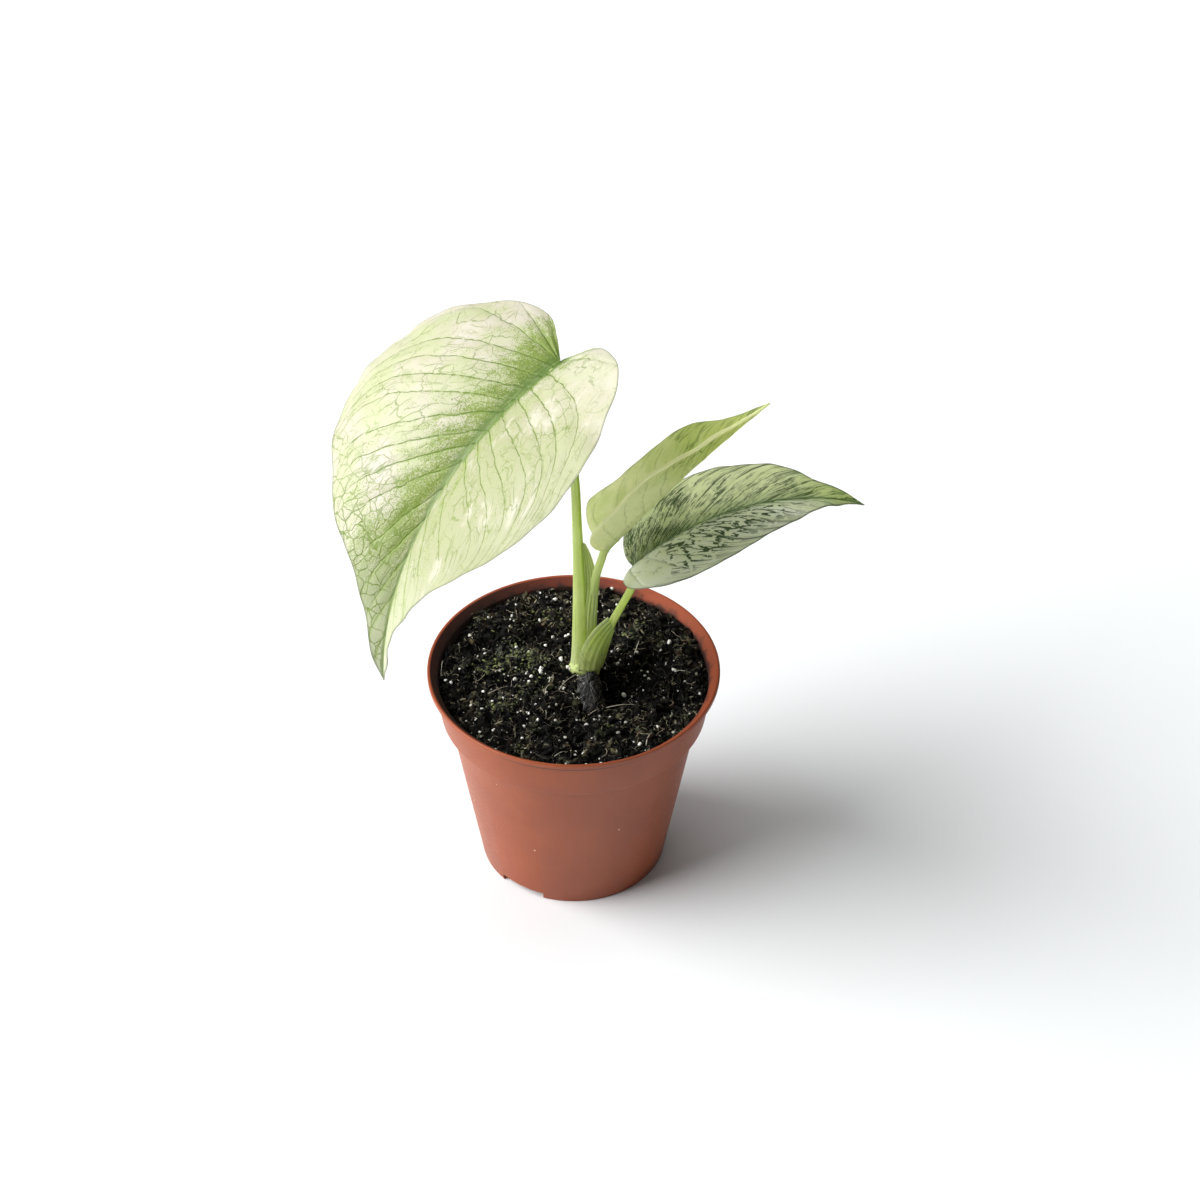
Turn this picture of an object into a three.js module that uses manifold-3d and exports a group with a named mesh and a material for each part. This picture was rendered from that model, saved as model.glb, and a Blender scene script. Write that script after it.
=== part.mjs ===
// A young mint monstera in a 9 cm nursery pot: millimetres, +Z up.
// The origin is on the floor, at the pot's axis, and the viewer stands towards -Y.

import * as THREE from 'three';
import { mergeVertices } from 'three/addons/utils/BufferGeometryUtils.js';
import Module from 'manifold-3d';

const wasm = await Module();
wasm.setup();

const GAP = 0.3; // clearance between neighbouring pieces
const WELD = 1e-4; // points closer than this are one vertex

// Pot
const POT_HEIGHT = 72.3;
const RIM_RADIUS = 45;
const LIP_HEIGHT = 1.6;
const LIP_WIDTH = 2.6;
const LIP_ROUND = 0.4;
const COLLAR_TOP_RADIUS = 43.2;
const COLLAR_FOOT_RADIUS = 41.1;
const COLLAR_HEIGHT = 15.2;
const BODY_TOP_RADIUS = 38.6;
const STEP_HEIGHT = 1.4;
const STEP_ROUND = 0.3;
const FOOT_RADIUS = 29.1;
const FOOT_ROUND = 0.8;
const WALL = 1.3;
const FOOT_RING_WIDTH = 2.4;
const FLOOR_RAISE = 2.6;
const FLOOR_THICKNESS = 1.4;
const PAD_RADIUS = 8;
const POT_SECTORS = 52;
const NOTCH_COUNT = 2;
const NOTCH_FIRST_DEG = -127;
const NOTCH_SPAN_DEG = 30;
const NOTCH_HEIGHT = 2.5;
const CUT_OVER = 1; // how far a cutter reaches past what it cuts
const DRAIN_COUNT = 6;
const DRAIN_RADIUS = 3;
const DRAIN_CIRCLE_RADIUS = 19;
const DRAIN_SIDES = 12;

// Soil
const SOIL_LEVEL = 68;
const SOIL_SECTORS = 52;
const SOIL_RINGS = 10;
const SOIL_SLOPE = 0.04; // the surface climbs towards the back
const SOIL_MOUND = 0.8; // broad rise and fall
const SOIL_WAVE = 0.12; // radians of that rise and fall in a millimetre
const SOIL_CRUMB = 0.9; // height of the crumbs
const SOIL_SEED = 11;
const HASH = [127.1, 311.7, 74.7, 43758.5453]; // scatters whole numbers over 0 to 1

// Stem base and roots
const CROWN_CENTRE = new THREE.Vector3(3.4, 4.9, 67.6);
const CROWN_RADII = new THREE.Vector3(5.1, 4.3, 4.8);
const ROOTS_CENTRE = new THREE.Vector3(4.8, -4.4, 64.4);
const ROOTS_RADII = new THREE.Vector3(3.7, 8.6, 4.4);
const HOLE_CLEARANCE = 0.5;
const HOLE_SIDES = 20;
const LUMP_SECTORS = 18;
const LUMP_RINGS = 11;
const CROWN_BUMP = 0.05;
const ROOT_BUMP = 0.07;

// Stalks, each a list of [x, y, z, radius] from the crown upwards
const STALK_SIDES = 12;
const STALK_ROWS = 16;
const CHANNEL_DEPTH = 0.16; // share of the radius, along the stalk's right side
const LARGE_STALK = [
  [1.7, 5.7, 65.9, 2.3],
  [2.0, 5.5, 74.1, 2.35],
  [2.1, 5.1, 92.0, 2.15],
  [1.9, 4.5, 110.0, 1.95],
  [1.2, 4.1, 126.0, 1.7],
  [0.5, 3.9, 140.9, 1.5],
  [-1.6, 3.5, 163.9, 1.4],
];
const YOUNG_STALK = [
  [4.9, 6.1, 66.2, 1.5],
  [5.3, 5.8, 78.1, 1.5],
  [5.9, 5.0, 89.0, 1.4],
  [6.5, 4.0, 97.5, 1.3],
  [7.3, 2.5, 106.0, 1.25],
  [8.1, 0.5, 113.5, 1.2],
];
const SPECKLED_STALK = [
  [6.2, 3.9, 66.6, 1.7],
  [7.7, 3.1, 72.7, 1.65],
  [10.0, 2.8, 79.6, 1.6],
  [12.8, 2.7, 87.3, 1.5],
  [15.7, 2.6, 94.9, 1.45],
  [17.6, 2.5, 101.6, 1.4],
];

// Leaf sheaths: thin wings at the foot of a stalk
const SHEATH_THICKNESS = 0.8;
const SHEATH_ROWS = 12;
const SHEATH_COLUMNS = 8;
const WRAP_RADIUS = 2.35; // the large stalk's sheath runs round the young stalk at this radius
const WRAP_START_DEG = 165;
const WRAP_END_DEG = 290;
const WRAP_FOOT_Z = 71.1;
const WRAP_HELD_Z = 90.1; // up to here it holds the young stalk
const WRAP_LOOSE_Z = 108; // from here it stands free and narrows to a tip
const WRAP_TIP_Z = 117.6;
const WRAP_WIDE_X = 7.2;
const WRAP_TIP_X = 3.7;
const WRAP_TAPER = 2.4;
const WRAP_ROOT = 1.1; // how far inside the stalk the free wing starts
const WING_FOOT_Z = 70.6;
const WING_FOOT_X = 3.1;
const WING_TIP = new THREE.Vector3(10.4, 1.9, 90.6);
const WING_SWEEP = 2.8; // how late the free edge leans over to the tip
const WING_BULGE = 0.9;

// Leaf blades: angles in degrees, the outline of one half in shares of the length. A seat is the stalk's
// end: how far ahead of the notch and below the blade it lies.
const BLADE = 0.8;
const RIB_RIDGE = 0.8; // how far the midrib stands out below at the leaf's base
const LARGE_LEAF = {
  length: 115.5,
  sinus: new THREE.Vector3(-3.6, 2.5, 184.3),
  heading: -143.1,
  pitch: -15.3,
  droop: 75,
  roll: 8.5,
  twist: -20.7,
  fold: 33.6,
  curlLeft: -42,
  curlRight: -61.4,
  curlWidth: 0.45,
  widthLeft: 0.96,
  widthRight: 1.04,
  slimRight: 0,
  seat: { ahead: 1.5, below: 1.0, radius: 1.35 },
  outline: [
    [0, 0], [-0.033, 0.049], [-0.062, 0.147], [-0.023, 0.287], [0.074, 0.406], [0.217, 0.46],
    [0.388, 0.421], [0.546, 0.289], [0.69, 0.144], [0.815, 0.058], [0.917, 0.031], [1, 0],
  ],
  rows: 26,
  columns: 7,
};
const YOUNG_LEAF = {
  length: 72.3,
  sinus: new THREE.Vector3(8.7, -0.5, 120.2),
  heading: -1,
  pitch: 69.3,
  droop: 43.5,
  roll: -87.1,
  twist: -36.3,
  fold: 56,
  curlLeft: -4.4,
  curlRight: 59.5,
  curlWidth: 0.3,
  widthLeft: 0.99,
  widthRight: 1.01,
  slimRight: 0,
  seat: { ahead: -1.2, below: 0.9, radius: 1.1 },
  outline: [
    [0, 0], [-0.032, 0.054], [-0.057, 0.13], [-0.028, 0.219], [0.1, 0.279], [0.277, 0.277],
    [0.454, 0.234], [0.625, 0.169], [0.772, 0.084], [0.894, 0.03], [1, 0],
  ],
  rows: 20,
  columns: 5,
};
const SPECKLED_LEAF = {
  length: 77.5,
  sinus: new THREE.Vector3(18.0, 2.5, 109.8),
  heading: 14.7,
  pitch: 41.3,
  droop: 68.1,
  roll: -29.1,
  twist: 31,
  fold: 18,
  curlLeft: 2.6,
  curlRight: -69.4,
  curlWidth: 0.3,
  widthLeft: 0.96,
  widthRight: 1.04,
  slimRight: 0.3,
  seat: { ahead: -0.4, below: 1.7, radius: 1.25 },
  outline: [
    [0, 0], [-0.015, 0.059], [-0.032, 0.135], [-0.001, 0.211], [0.121, 0.29], [0.301, 0.307],
    [0.48, 0.265], [0.652, 0.192], [0.802, 0.099], [0.905, 0.046], [1, 0],
  ],
  rows: 20,
  columns: 5,
};

const COLOURS = {
  pot: 0xb5603f,
  soil: 0x1c1613,
  roots: 0x35322f,
  crown: 0xb9cd84,
  stalk: 0xb3c77c,
  largeLeaf: 0xe6efcf,
  youngLeaf: 0xb4c482,
  speckledLeaf: 0xa9bd93,
};

const model = new THREE.Group();
const rad = THREE.MathUtils.degToRad;
const lerp = THREE.MathUtils.lerp;

function addPiece(name, solid, colour, roughness) {
  const material = new THREE.MeshStandardMaterial({ color: colour, roughness, metalness: 0 });
  const mesh = new THREE.Mesh(toGeometry(solid), material);
  mesh.name = name;
  model.add(mesh);
}

// Solids and geometries

// A closed mesh as a solid, with its faces turned outwards.
function toSolid(geometry) {
  const bare = new THREE.BufferGeometry();
  bare.setAttribute('position', geometry.getAttribute('position'));
  if (geometry.index) {
    bare.setIndex(geometry.index);
  }
  const merged = mergeVertices(bare, WELD);
  const position = merged.getAttribute('position');
  const corners = merged.index.array;
  const [p, q, r] = [new THREE.Vector3(), new THREE.Vector3(), new THREE.Vector3()];
  const kept = [];
  let volume = 0;
  for (let i = 0; i < corners.length; i += 3) {
    const [a, b, c] = [corners[i], corners[i + 1], corners[i + 2]];
    if (a !== b && b !== c && c !== a) {
      kept.push(a, b, c);
      p.fromBufferAttribute(position, a);
      q.fromBufferAttribute(position, b);
      r.fromBufferAttribute(position, c);
      volume += p.dot(q.cross(r)) / 6;
    }
  }
  if (volume < 0) {
    kept.reverse();
  }
  return new wasm.Manifold(new wasm.Mesh({
    numProp: 3,
    vertProperties: new Float32Array(position.array),
    triVerts: new Uint32Array(kept),
  }));
}

function toGeometry(solid) {
  const mesh = solid.getMesh();
  const geometry = new THREE.BufferGeometry();
  geometry.setAttribute('position', new THREE.BufferAttribute(mesh.vertProperties, 3));
  geometry.setIndex(new THREE.BufferAttribute(mesh.triVerts, 1));
  geometry.computeVertexNormals();
  return geometry;
}

function meshOf(points, triangles) {
  const geometry = new THREE.BufferGeometry().setFromPoints(points);
  geometry.setIndex(triangles);
  return geometry;
}

// Points that coincide get one number, so that rows may shrink to a point.
function number(rows) {
  const points = [];
  const known = new Map();
  const ids = rows.map((row) => row.map((point) => {
    const key = point.toArray().map((value) => Math.round(value / WELD)).join(' ');
    if (!known.has(key)) {
      known.set(key, points.length);
      points.push(point);
    }
    return known.get(key);
  }));
  return { points, ids };
}

function cells(ids, closed) {
  const triangles = [];
  for (let u = 0; u + 1 < ids.length; u += 1) {
    const count = ids[u].length;
    for (let v = 0; v < (closed ? count : count - 1); v += 1) {
      const next = (v + 1) % count;
      const [a, b, c, d] = [ids[u][v], ids[u + 1][v], ids[u + 1][next], ids[u][next]];
      for (const triangle of [[a, b, c], [a, c, d]]) {
        if (new Set(triangle).size === 3) {
          triangles.push(triangle);
        }
      }
    }
  }
  return triangles;
}

// A plate half a thickness to each side of a curved surface of rows of points, with an added ridge below.
function plate(rows, thickness, ridge) {
  const { points, ids } = number(rows);
  const front = cells(ids, false);
  const middle = meshOf(points, front.flat());
  middle.computeVertexNormals();
  const normals = middle.getAttribute('normal');
  const below = [];
  ids.forEach((row, u) => row.forEach((id, v) => {
    below[id] = thickness / 2 + ridge(u, v);
  }));
  const offset = (point, id, distance) => {
    const normal = new THREE.Vector3().fromBufferAttribute(normals, id);
    return point.clone().addScaledVector(normal, distance);
  };
  const count = points.length;
  const all = [
    ...points.map((point, id) => offset(point, id, thickness / 2)),
    ...points.map((point, id) => offset(point, id, -below[id])),
  ];
  const triangles = [...front, ...front.map(([a, b, c]) => [a + count, c + count, b + count])];
  const used = new Set();
  front.forEach(([a, b, c]) => [[a, b], [b, c], [c, a]].forEach((edge) => used.add(edge.join())));
  for (const [a, b, c] of front) {
    for (const [from, to] of [[a, b], [b, c], [c, a]]) {
      if (!used.has([to, from].join())) {
        triangles.push([from, from + count, to + count], [from, to + count, to]);
      }
    }
  }
  return toSolid(meshOf(all, triangles.flat()));
}

// A closed body through rings of points, with flat ends.
function loft(rings) {
  const centre = (ring) => ring.reduce((sum, point) => sum.add(point), new THREE.Vector3())
    .divideScalar(ring.length);
  const collapse = (ring) => {
    const middle = centre(ring);
    return ring.map(() => middle);
  };
  const rows = [collapse(rings[0]), ...rings, collapse(rings.at(-1))];
  const { points, ids } = number(rows);
  return toSolid(meshOf(points, cells(ids, true).flat()));
}

// A profile of [radius, height] points turned round the Z axis.
function turned(profile, sectors) {
  const points = profile.map(([radius, height]) => new THREE.Vector2(radius, height));
  return new THREE.LatheGeometry(points, sectors).rotateX(Math.PI / 2);
}

function ellipsoid(centre, radii, margin, lift) {
  const geometry = new THREE.SphereGeometry(1, LUMP_SECTORS, LUMP_RINGS).rotateX(Math.PI / 2);
  const position = geometry.getAttribute('position');
  const point = new THREE.Vector3();
  for (let i = 0; i < position.count; i += 1) {
    point.fromBufferAttribute(position, i);
    point.multiplyScalar(1 + lift(point));
    point.multiply(radii.clone().addScalar(margin)).add(centre);
    position.setXYZ(i, point.x, point.y, point.z);
  }
  return toSolid(geometry);
}

// An upright column of oval section, which opens a plain hole.
function ovalColumn(centre, radii, bottom, top) {
  const outline = new THREE.Shape();
  outline.absellipse(0, 0, radii.x + HOLE_CLEARANCE, radii.y + HOLE_CLEARANCE, 0, 2 * Math.PI);
  const options = { depth: top - bottom, bevelEnabled: false, curveSegments: HOLE_SIDES };
  const geometry = new THREE.ExtrudeGeometry(outline, options);
  geometry.translate(centre.x, centre.y, bottom);
  return toSolid(geometry);
}

// Pot

function innerRadius(height) {
  const collarFoot = POT_HEIGHT - COLLAR_HEIGHT;
  if (height >= collarFoot) {
    const share = (height - collarFoot) / COLLAR_HEIGHT;
    return lerp(COLLAR_FOOT_RADIUS, COLLAR_TOP_RADIUS, share) - WALL;
  }
  return lerp(FOOT_RADIUS, BODY_TOP_RADIUS, height / (collarFoot - STEP_HEIGHT)) - WALL;
}

function potProfile() {
  const collarFoot = POT_HEIGHT - COLLAR_HEIGHT;
  const bodyTop = collarFoot - STEP_HEIGHT;
  const lipFoot = POT_HEIGHT - LIP_HEIGHT;
  const floorTop = FLOOR_RAISE + FLOOR_THICKNESS;
  const ringInner = FOOT_RADIUS - FOOT_RING_WIDTH;
  return [
    [0, 0],
    [PAD_RADIUS, 0],
    [PAD_RADIUS, FLOOR_RAISE],
    [ringInner, FLOOR_RAISE],
    [ringInner, 0],
    [FOOT_RADIUS - FOOT_ROUND, 0],
    [FOOT_RADIUS, FOOT_ROUND],
    [BODY_TOP_RADIUS, bodyTop],
    [COLLAR_FOOT_RADIUS - STEP_ROUND, collarFoot - STEP_ROUND],
    [COLLAR_FOOT_RADIUS, collarFoot + STEP_ROUND],
    [COLLAR_TOP_RADIUS, lipFoot - LIP_ROUND],
    [RIM_RADIUS - LIP_ROUND / 2, lipFoot],
    [RIM_RADIUS, lipFoot + LIP_ROUND],
    [RIM_RADIUS, POT_HEIGHT - LIP_ROUND],
    [RIM_RADIUS - LIP_ROUND, POT_HEIGHT],
    [RIM_RADIUS - LIP_WIDTH, POT_HEIGHT],
    [innerRadius(lipFoot), lipFoot - LIP_ROUND],
    [innerRadius(collarFoot), collarFoot],
    [innerRadius(bodyTop), bodyTop],
    [innerRadius(floorTop), floorTop],
    [0, floorTop],
  ];
}

function footNotch(azimuth) {
  const half = rad(NOTCH_SPAN_DEG / 2);
  const inner = FOOT_RADIUS - FOOT_RING_WIDTH - CUT_OVER;
  const outer = FOOT_RADIUS + NOTCH_HEIGHT;
  const sector = new THREE.Shape();
  sector.absarc(0, 0, outer, -half, half, false);
  sector.absarc(0, 0, inner, half, -half, true);
  const options = { depth: NOTCH_HEIGHT + CUT_OVER, bevelEnabled: false, curveSegments: 6 };
  const geometry = new THREE.ExtrudeGeometry(sector, options).translate(0, 0, -CUT_OVER);
  return toSolid(geometry.rotateZ(azimuth));
}

function drainHole(azimuth) {
  const depth = FLOOR_RAISE + FLOOR_THICKNESS + 2 * CUT_OVER;
  const geometry = new THREE.CylinderGeometry(DRAIN_RADIUS, DRAIN_RADIUS, depth, DRAIN_SIDES);
  geometry.rotateX(Math.PI / 2).translate(DRAIN_CIRCLE_RADIUS, 0, depth / 2 - CUT_OVER);
  return toSolid(geometry.rotateZ(azimuth));
}

function makePot() {
  let pot = toSolid(turned(potProfile(), POT_SECTORS));
  for (let i = 0; i < NOTCH_COUNT; i += 1) {
    pot = pot.subtract(footNotch(rad(NOTCH_FIRST_DEG + (i * 360) / NOTCH_COUNT)));
  }
  for (let i = 0; i < DRAIN_COUNT; i += 1) {
    pot = pot.subtract(drainHole(rad(NOTCH_FIRST_DEG + ((i + 0.5) * 360) / DRAIN_COUNT)));
  }
  return pot;
}

// Soil

function noise(i, j, seed) {
  const value = Math.sin(i * HASH[0] + j * HASH[1] + seed * HASH[2]) * HASH[3];
  return value - Math.floor(value);
}

function soilLift(x, y, ring, sector) {
  const mound = SOIL_MOUND * Math.sin(x * SOIL_WAVE + 1) * Math.cos(y * SOIL_WAVE);
  const crumb = SOIL_CRUMB * (noise(ring, sector, SOIL_SEED) - 0.5);
  return SOIL_SLOPE * y + mound + crumb;
}

function makeSoil() {
  const rimRadius = innerRadius(SOIL_LEVEL) - GAP;
  const stepZ = POT_HEIGHT - COLLAR_HEIGHT;
  const belowStepZ = stepZ - STEP_HEIGHT;
  const bottomZ = FLOOR_RAISE + FLOOR_THICKNESS + GAP;
  const profile = [
    [0, bottomZ],
    [innerRadius(bottomZ) - GAP, bottomZ],
    [innerRadius(belowStepZ) - GAP, belowStepZ],
    [innerRadius(stepZ) - GAP, stepZ + GAP],
  ];
  for (let ring = SOIL_RINGS; ring >= 0; ring -= 1) {
    profile.push([(rimRadius * ring) / SOIL_RINGS, SOIL_LEVEL]);
  }
  const geometry = turned(profile, SOIL_SECTORS);
  const position = geometry.getAttribute('position');
  for (let i = 0; i < position.count; i += 1) {
    if (position.getZ(i) > SOIL_LEVEL - 1) {
      const [x, y] = [position.getX(i), position.getY(i)];
      const ring = Math.round((Math.hypot(x, y) / rimRadius) * SOIL_RINGS);
      const turn = Math.atan2(y, x) / (2 * Math.PI) + 1;
      const sector = ring === 0 ? 0 : Math.round(turn * SOIL_SECTORS) % SOIL_SECTORS;
      const z = SOIL_LEVEL + soilLift(x, y, ring, sector);
      const scale = (innerRadius(z) - GAP) / rimRadius;
      position.setXYZ(i, x * scale, y * scale, z);
    }
  }
  const crownHole = ovalColumn(CROWN_CENTRE, CROWN_RADII, CROWN_CENTRE.z - CROWN_RADII.z - GAP, POT_HEIGHT);
  const rootHole = ovalColumn(ROOTS_CENTRE, ROOTS_RADII, ROOTS_CENTRE.z - ROOTS_RADII.z - GAP, POT_HEIGHT);
  return toSolid(geometry).subtract(crownHole).subtract(rootHole);
}

// Stalks

function stalkRings(stations, margin) {
  const path = new THREE.CatmullRomCurve3(stations.map(([x, y, z]) => new THREE.Vector3(x, y, z)));
  path.curveType = 'catmullrom';
  const rings = [];
  for (let row = 0; row <= STALK_ROWS; row += 1) {
    const t = row / STALK_ROWS;
    const at = Math.min(t * (stations.length - 1), stations.length - 1 - WELD);
    const station = Math.floor(at);
    const radius = lerp(stations[station][3], stations[station + 1][3], at - station) + margin;
    const centre = path.getPoint(t);
    const tangent = path.getTangent(t);
    const right = new THREE.Vector3(1, 0, 0).addScaledVector(tangent, -tangent.x).normalize();
    const front = new THREE.Vector3().crossVectors(tangent, right);
    const ring = [];
    for (let side = 0; side < STALK_SIDES; side += 1) {
      const angle = (side / STALK_SIDES) * 2 * Math.PI;
      const channel = margin > 0 ? 1 : 1 - CHANNEL_DEPTH * Math.max(0, Math.cos(angle + 0.5)) ** 6;
      ring.push(centre.clone()
        .addScaledVector(right, radius * channel * Math.cos(angle))
        .addScaledVector(front, radius * channel * Math.sin(angle)));
    }
    rings.push(ring);
  }
  if (margin > 0) {
    const drop = path.getTangent(0).multiplyScalar(-margin);
    rings[0].forEach((point) => point.add(drop));
  }
  return rings;
}

function stationAt(stations, z) {
  const above = Math.max(1, stations.findIndex((station) => station[2] >= z));
  const [low, high] = [stations[above - 1], stations[above]];
  const share = (z - low[2]) / (high[2] - low[2]);
  return new THREE.Vector3(lerp(low[0], high[0], share), lerp(low[1], high[1], share), z);
}

// The large stalk's sheath holds the young stalk's front and ends in a free pointed wing.
function wrapRows() {
  const rows = [];
  for (let u = 0; u <= SHEATH_ROWS; u += 1) {
    const z = lerp(WRAP_FOOT_Z, WRAP_TIP_Z, u / SHEATH_ROWS);
    const loose = THREE.MathUtils.smoothstep(z, WRAP_HELD_Z, WRAP_LOOSE_Z);
    const young = stationAt(YOUNG_STALK, z);
    const large = stationAt(LARGE_STALK, z);
    const rise = THREE.MathUtils.clamp((z - WRAP_HELD_Z) / (WRAP_TIP_Z - WRAP_HELD_Z), 0, 1);
    const freeX = lerp(WRAP_WIDE_X, WRAP_TIP_X, rise ** WRAP_TAPER);
    const row = [];
    for (let v = 0; v <= SHEATH_COLUMNS; v += 1) {
      const share = v / SHEATH_COLUMNS;
      const angle = rad(lerp(WRAP_START_DEG, WRAP_END_DEG, share));
      const heldX = young.x + WRAP_RADIUS * Math.cos(angle);
      const heldY = young.y + WRAP_RADIUS * Math.sin(angle);
      const looseX = lerp(large.x + WRAP_ROOT, freeX, share);
      const looseY = large.y - WRAP_ROOT * share;
      row.push(new THREE.Vector3(lerp(heldX, looseX, loose), lerp(heldY, looseY, loose), z));
    }
    rows.push(row);
  }
  return rows;
}

// The speckled leaf's sheath: a pointed wing on the stalk's left, in front of the other stalks.
function wingRows() {
  const rows = [];
  for (let u = 0; u <= SHEATH_ROWS; u += 1) {
    const share = u / SHEATH_ROWS;
    const z = lerp(WING_FOOT_Z, WING_TIP.z, share);
    const root = stationAt(SPECKLED_STALK, z);
    const freeX = lerp(WING_FOOT_X, WING_TIP.x, share ** WING_SWEEP);
    const row = [];
    for (let v = 0; v <= SHEATH_COLUMNS; v += 1) {
      const across = v / SHEATH_COLUMNS;
      const bulge = WING_BULGE * Math.sin(across * Math.PI) * (1 - share);
      const y = lerp(WING_TIP.y, root.y, across) - GAP - bulge;
      row.push(new THREE.Vector3(lerp(freeX, root.x, across), y, z));
    }
    rows.push(row);
  }
  return rows;
}

function sheath(rows) {
  return plate(rows, SHEATH_THICKNESS, () => 0);
}

// Leaf blades

// Where a walk ends that starts at an angle and turns at an even rate.
function walk(angle, rate, distance) {
  const turn = Math.abs(rate) < WELD ? WELD : rate;
  const end = angle + turn * distance;
  return {
    ahead: (Math.sin(end) - Math.sin(angle)) / turn,
    up: (Math.cos(angle) - Math.cos(end)) / turn,
  };
}

// The blade's own axes at x along its midrib: its place, across to the left, and its upper normal.
function ribFrame(leaf, x) {
  const bend = -rad(leaf.droop) / leaf.length;
  const { ahead, up } = walk(rad(leaf.pitch), bend, x);
  const slope = rad(leaf.pitch) + bend * x;
  const heading = new THREE.Vector3(Math.cos(rad(leaf.heading)), Math.sin(rad(leaf.heading)), 0);
  const left = new THREE.Vector3(-heading.y, heading.x, 0);
  const normal = heading.clone().multiplyScalar(-Math.sin(slope));
  normal.z = Math.cos(slope);
  const tilt = rad(leaf.roll) + (rad(leaf.twist) * x) / leaf.length;
  const place = leaf.sinus.clone().addScaledVector(heading, ahead);
  place.z += up;
  const across = left.clone().multiplyScalar(Math.cos(tilt)).addScaledVector(normal, Math.sin(tilt));
  const upper = normal.clone().multiplyScalar(Math.cos(tilt)).addScaledVector(left, -Math.sin(tilt));
  return { place, across, upper };
}

// A point of the blade: x along the midrib, y out from it, side 1 for left and -1 for right.
function bladePoint(leaf, x, y, side) {
  const { place, across, upper } = ribFrame(leaf, x);
  const curl = rad(side > 0 ? leaf.curlLeft : leaf.curlRight) / (leaf.curlWidth * leaf.length);
  const { ahead, up } = walk(rad(leaf.fold), curl, y);
  return place.addScaledVector(across, side * ahead).addScaledVector(upper, up);
}

function bladeRows(leaf) {
  const margin = new THREE.CatmullRomCurve3(leaf.outline.map(([x, y]) => new THREE.Vector3(x, y, 0)));
  margin.curveType = 'catmullrom';
  const rows = [];
  for (let u = 0; u <= leaf.rows; u += 1) {
    const t = u / leaf.rows;
    const rib = t * t;
    const edge = margin.getPoint(t);
    const row = [];
    for (let v = -leaf.columns; v <= leaf.columns; v += 1) {
      const side = v < 0 ? 1 : -1;
      const share = Math.abs(v) / leaf.columns;
      const width = side > 0 ? leaf.widthLeft : leaf.widthRight * (1 - leaf.slimRight * edge.x);
      const x = lerp(rib, edge.x, share) * leaf.length;
      const y = Math.abs(edge.y) * share * width * leaf.length;
      row.push(bladePoint(leaf, x, y, side));
    }
    rows.push(row);
  }
  return rows;
}

function makeBlade(leaf) {
  const ridge = (u, v) => (v === leaf.columns ? RIB_RIDGE * (1 - u / leaf.rows) : 0);
  return plate(bladeRows(leaf), BLADE, ridge);
}

// A stalk's stations, with a last one just under its blade's midrib.
function stalkTo(leaf, stations) {
  const { ahead, below, radius } = leaf.seat;
  const { place, upper } = ribFrame(leaf, ahead);
  const end = place.addScaledVector(upper, -below);
  return [...stations, [...end.toArray(), radius]];
}

const largeStalk = stalkTo(LARGE_LEAF, LARGE_STALK);
const youngStalk = stalkTo(YOUNG_LEAF, YOUNG_STALK);
const speckledStalk = stalkTo(SPECKLED_LEAF, SPECKLED_STALK);

const smooth = () => 0;
const crownBumps = (p) => CROWN_BUMP * (Math.sin(5 * p.x + 1) * Math.cos(4 * p.z) + Math.sin(7 * p.y));
const rootBumps = (p) => ROOT_BUMP * Math.sin(9 * p.x + 6 * p.y) * Math.cos(7 * p.z - 2 * p.y);

const crownRoom = ellipsoid(CROWN_CENTRE, CROWN_RADII, GAP + CROWN_BUMP * CROWN_RADII.x, smooth);
const largeRoom = loft(stalkRings(largeStalk, GAP));
const youngRoom = loft(stalkRings(youngStalk, GAP));
const speckledRoom = loft(stalkRings(speckledStalk, GAP));

const crown = ellipsoid(CROWN_CENTRE, CROWN_RADII, 0, crownBumps)
  .subtract(largeRoom)
  .subtract(youngRoom)
  .subtract(speckledRoom);
const roots = ellipsoid(ROOTS_CENTRE, ROOTS_RADII, 0, rootBumps).subtract(crownRoom);
const largeStalkSolid = loft(stalkRings(largeStalk, 0))
  .add(sheath(wrapRows()).subtract(crownRoom))
  .subtract(youngRoom)
  .subtract(speckledRoom);
const youngStalkSolid = loft(stalkRings(youngStalk, 0));
const speckledStalkSolid = loft(stalkRings(speckledStalk, 0))
  .add(sheath(wingRows()).subtract(crownRoom))
  .subtract(youngRoom)
  .subtract(largeRoom);

addPiece('pot', makePot(), COLOURS.pot, 0.55);
addPiece('soil', makeSoil(), COLOURS.soil, 1);
addPiece('root_plug', roots, COLOURS.roots, 0.95);
addPiece('crown', crown, COLOURS.crown, 0.5);
addPiece('petiole_large', largeStalkSolid, COLOURS.stalk, 0.45);
addPiece('petiole_young', youngStalkSolid, COLOURS.stalk, 0.45);
addPiece('petiole_speckled', speckledStalkSolid, COLOURS.stalk, 0.45);
addPiece('leaf_large', makeBlade(LARGE_LEAF), COLOURS.largeLeaf, 0.45);
addPiece('leaf_young', makeBlade(YOUNG_LEAF), COLOURS.youngLeaf, 0.4);
addPiece('leaf_speckled', makeBlade(SPECKLED_LEAF), COLOURS.speckledLeaf, 0.45);

export default model;
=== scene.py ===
# The looks of a young mint monstera in a 9 cm nursery pot: metres, +Z up, the viewer towards -Y.

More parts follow.
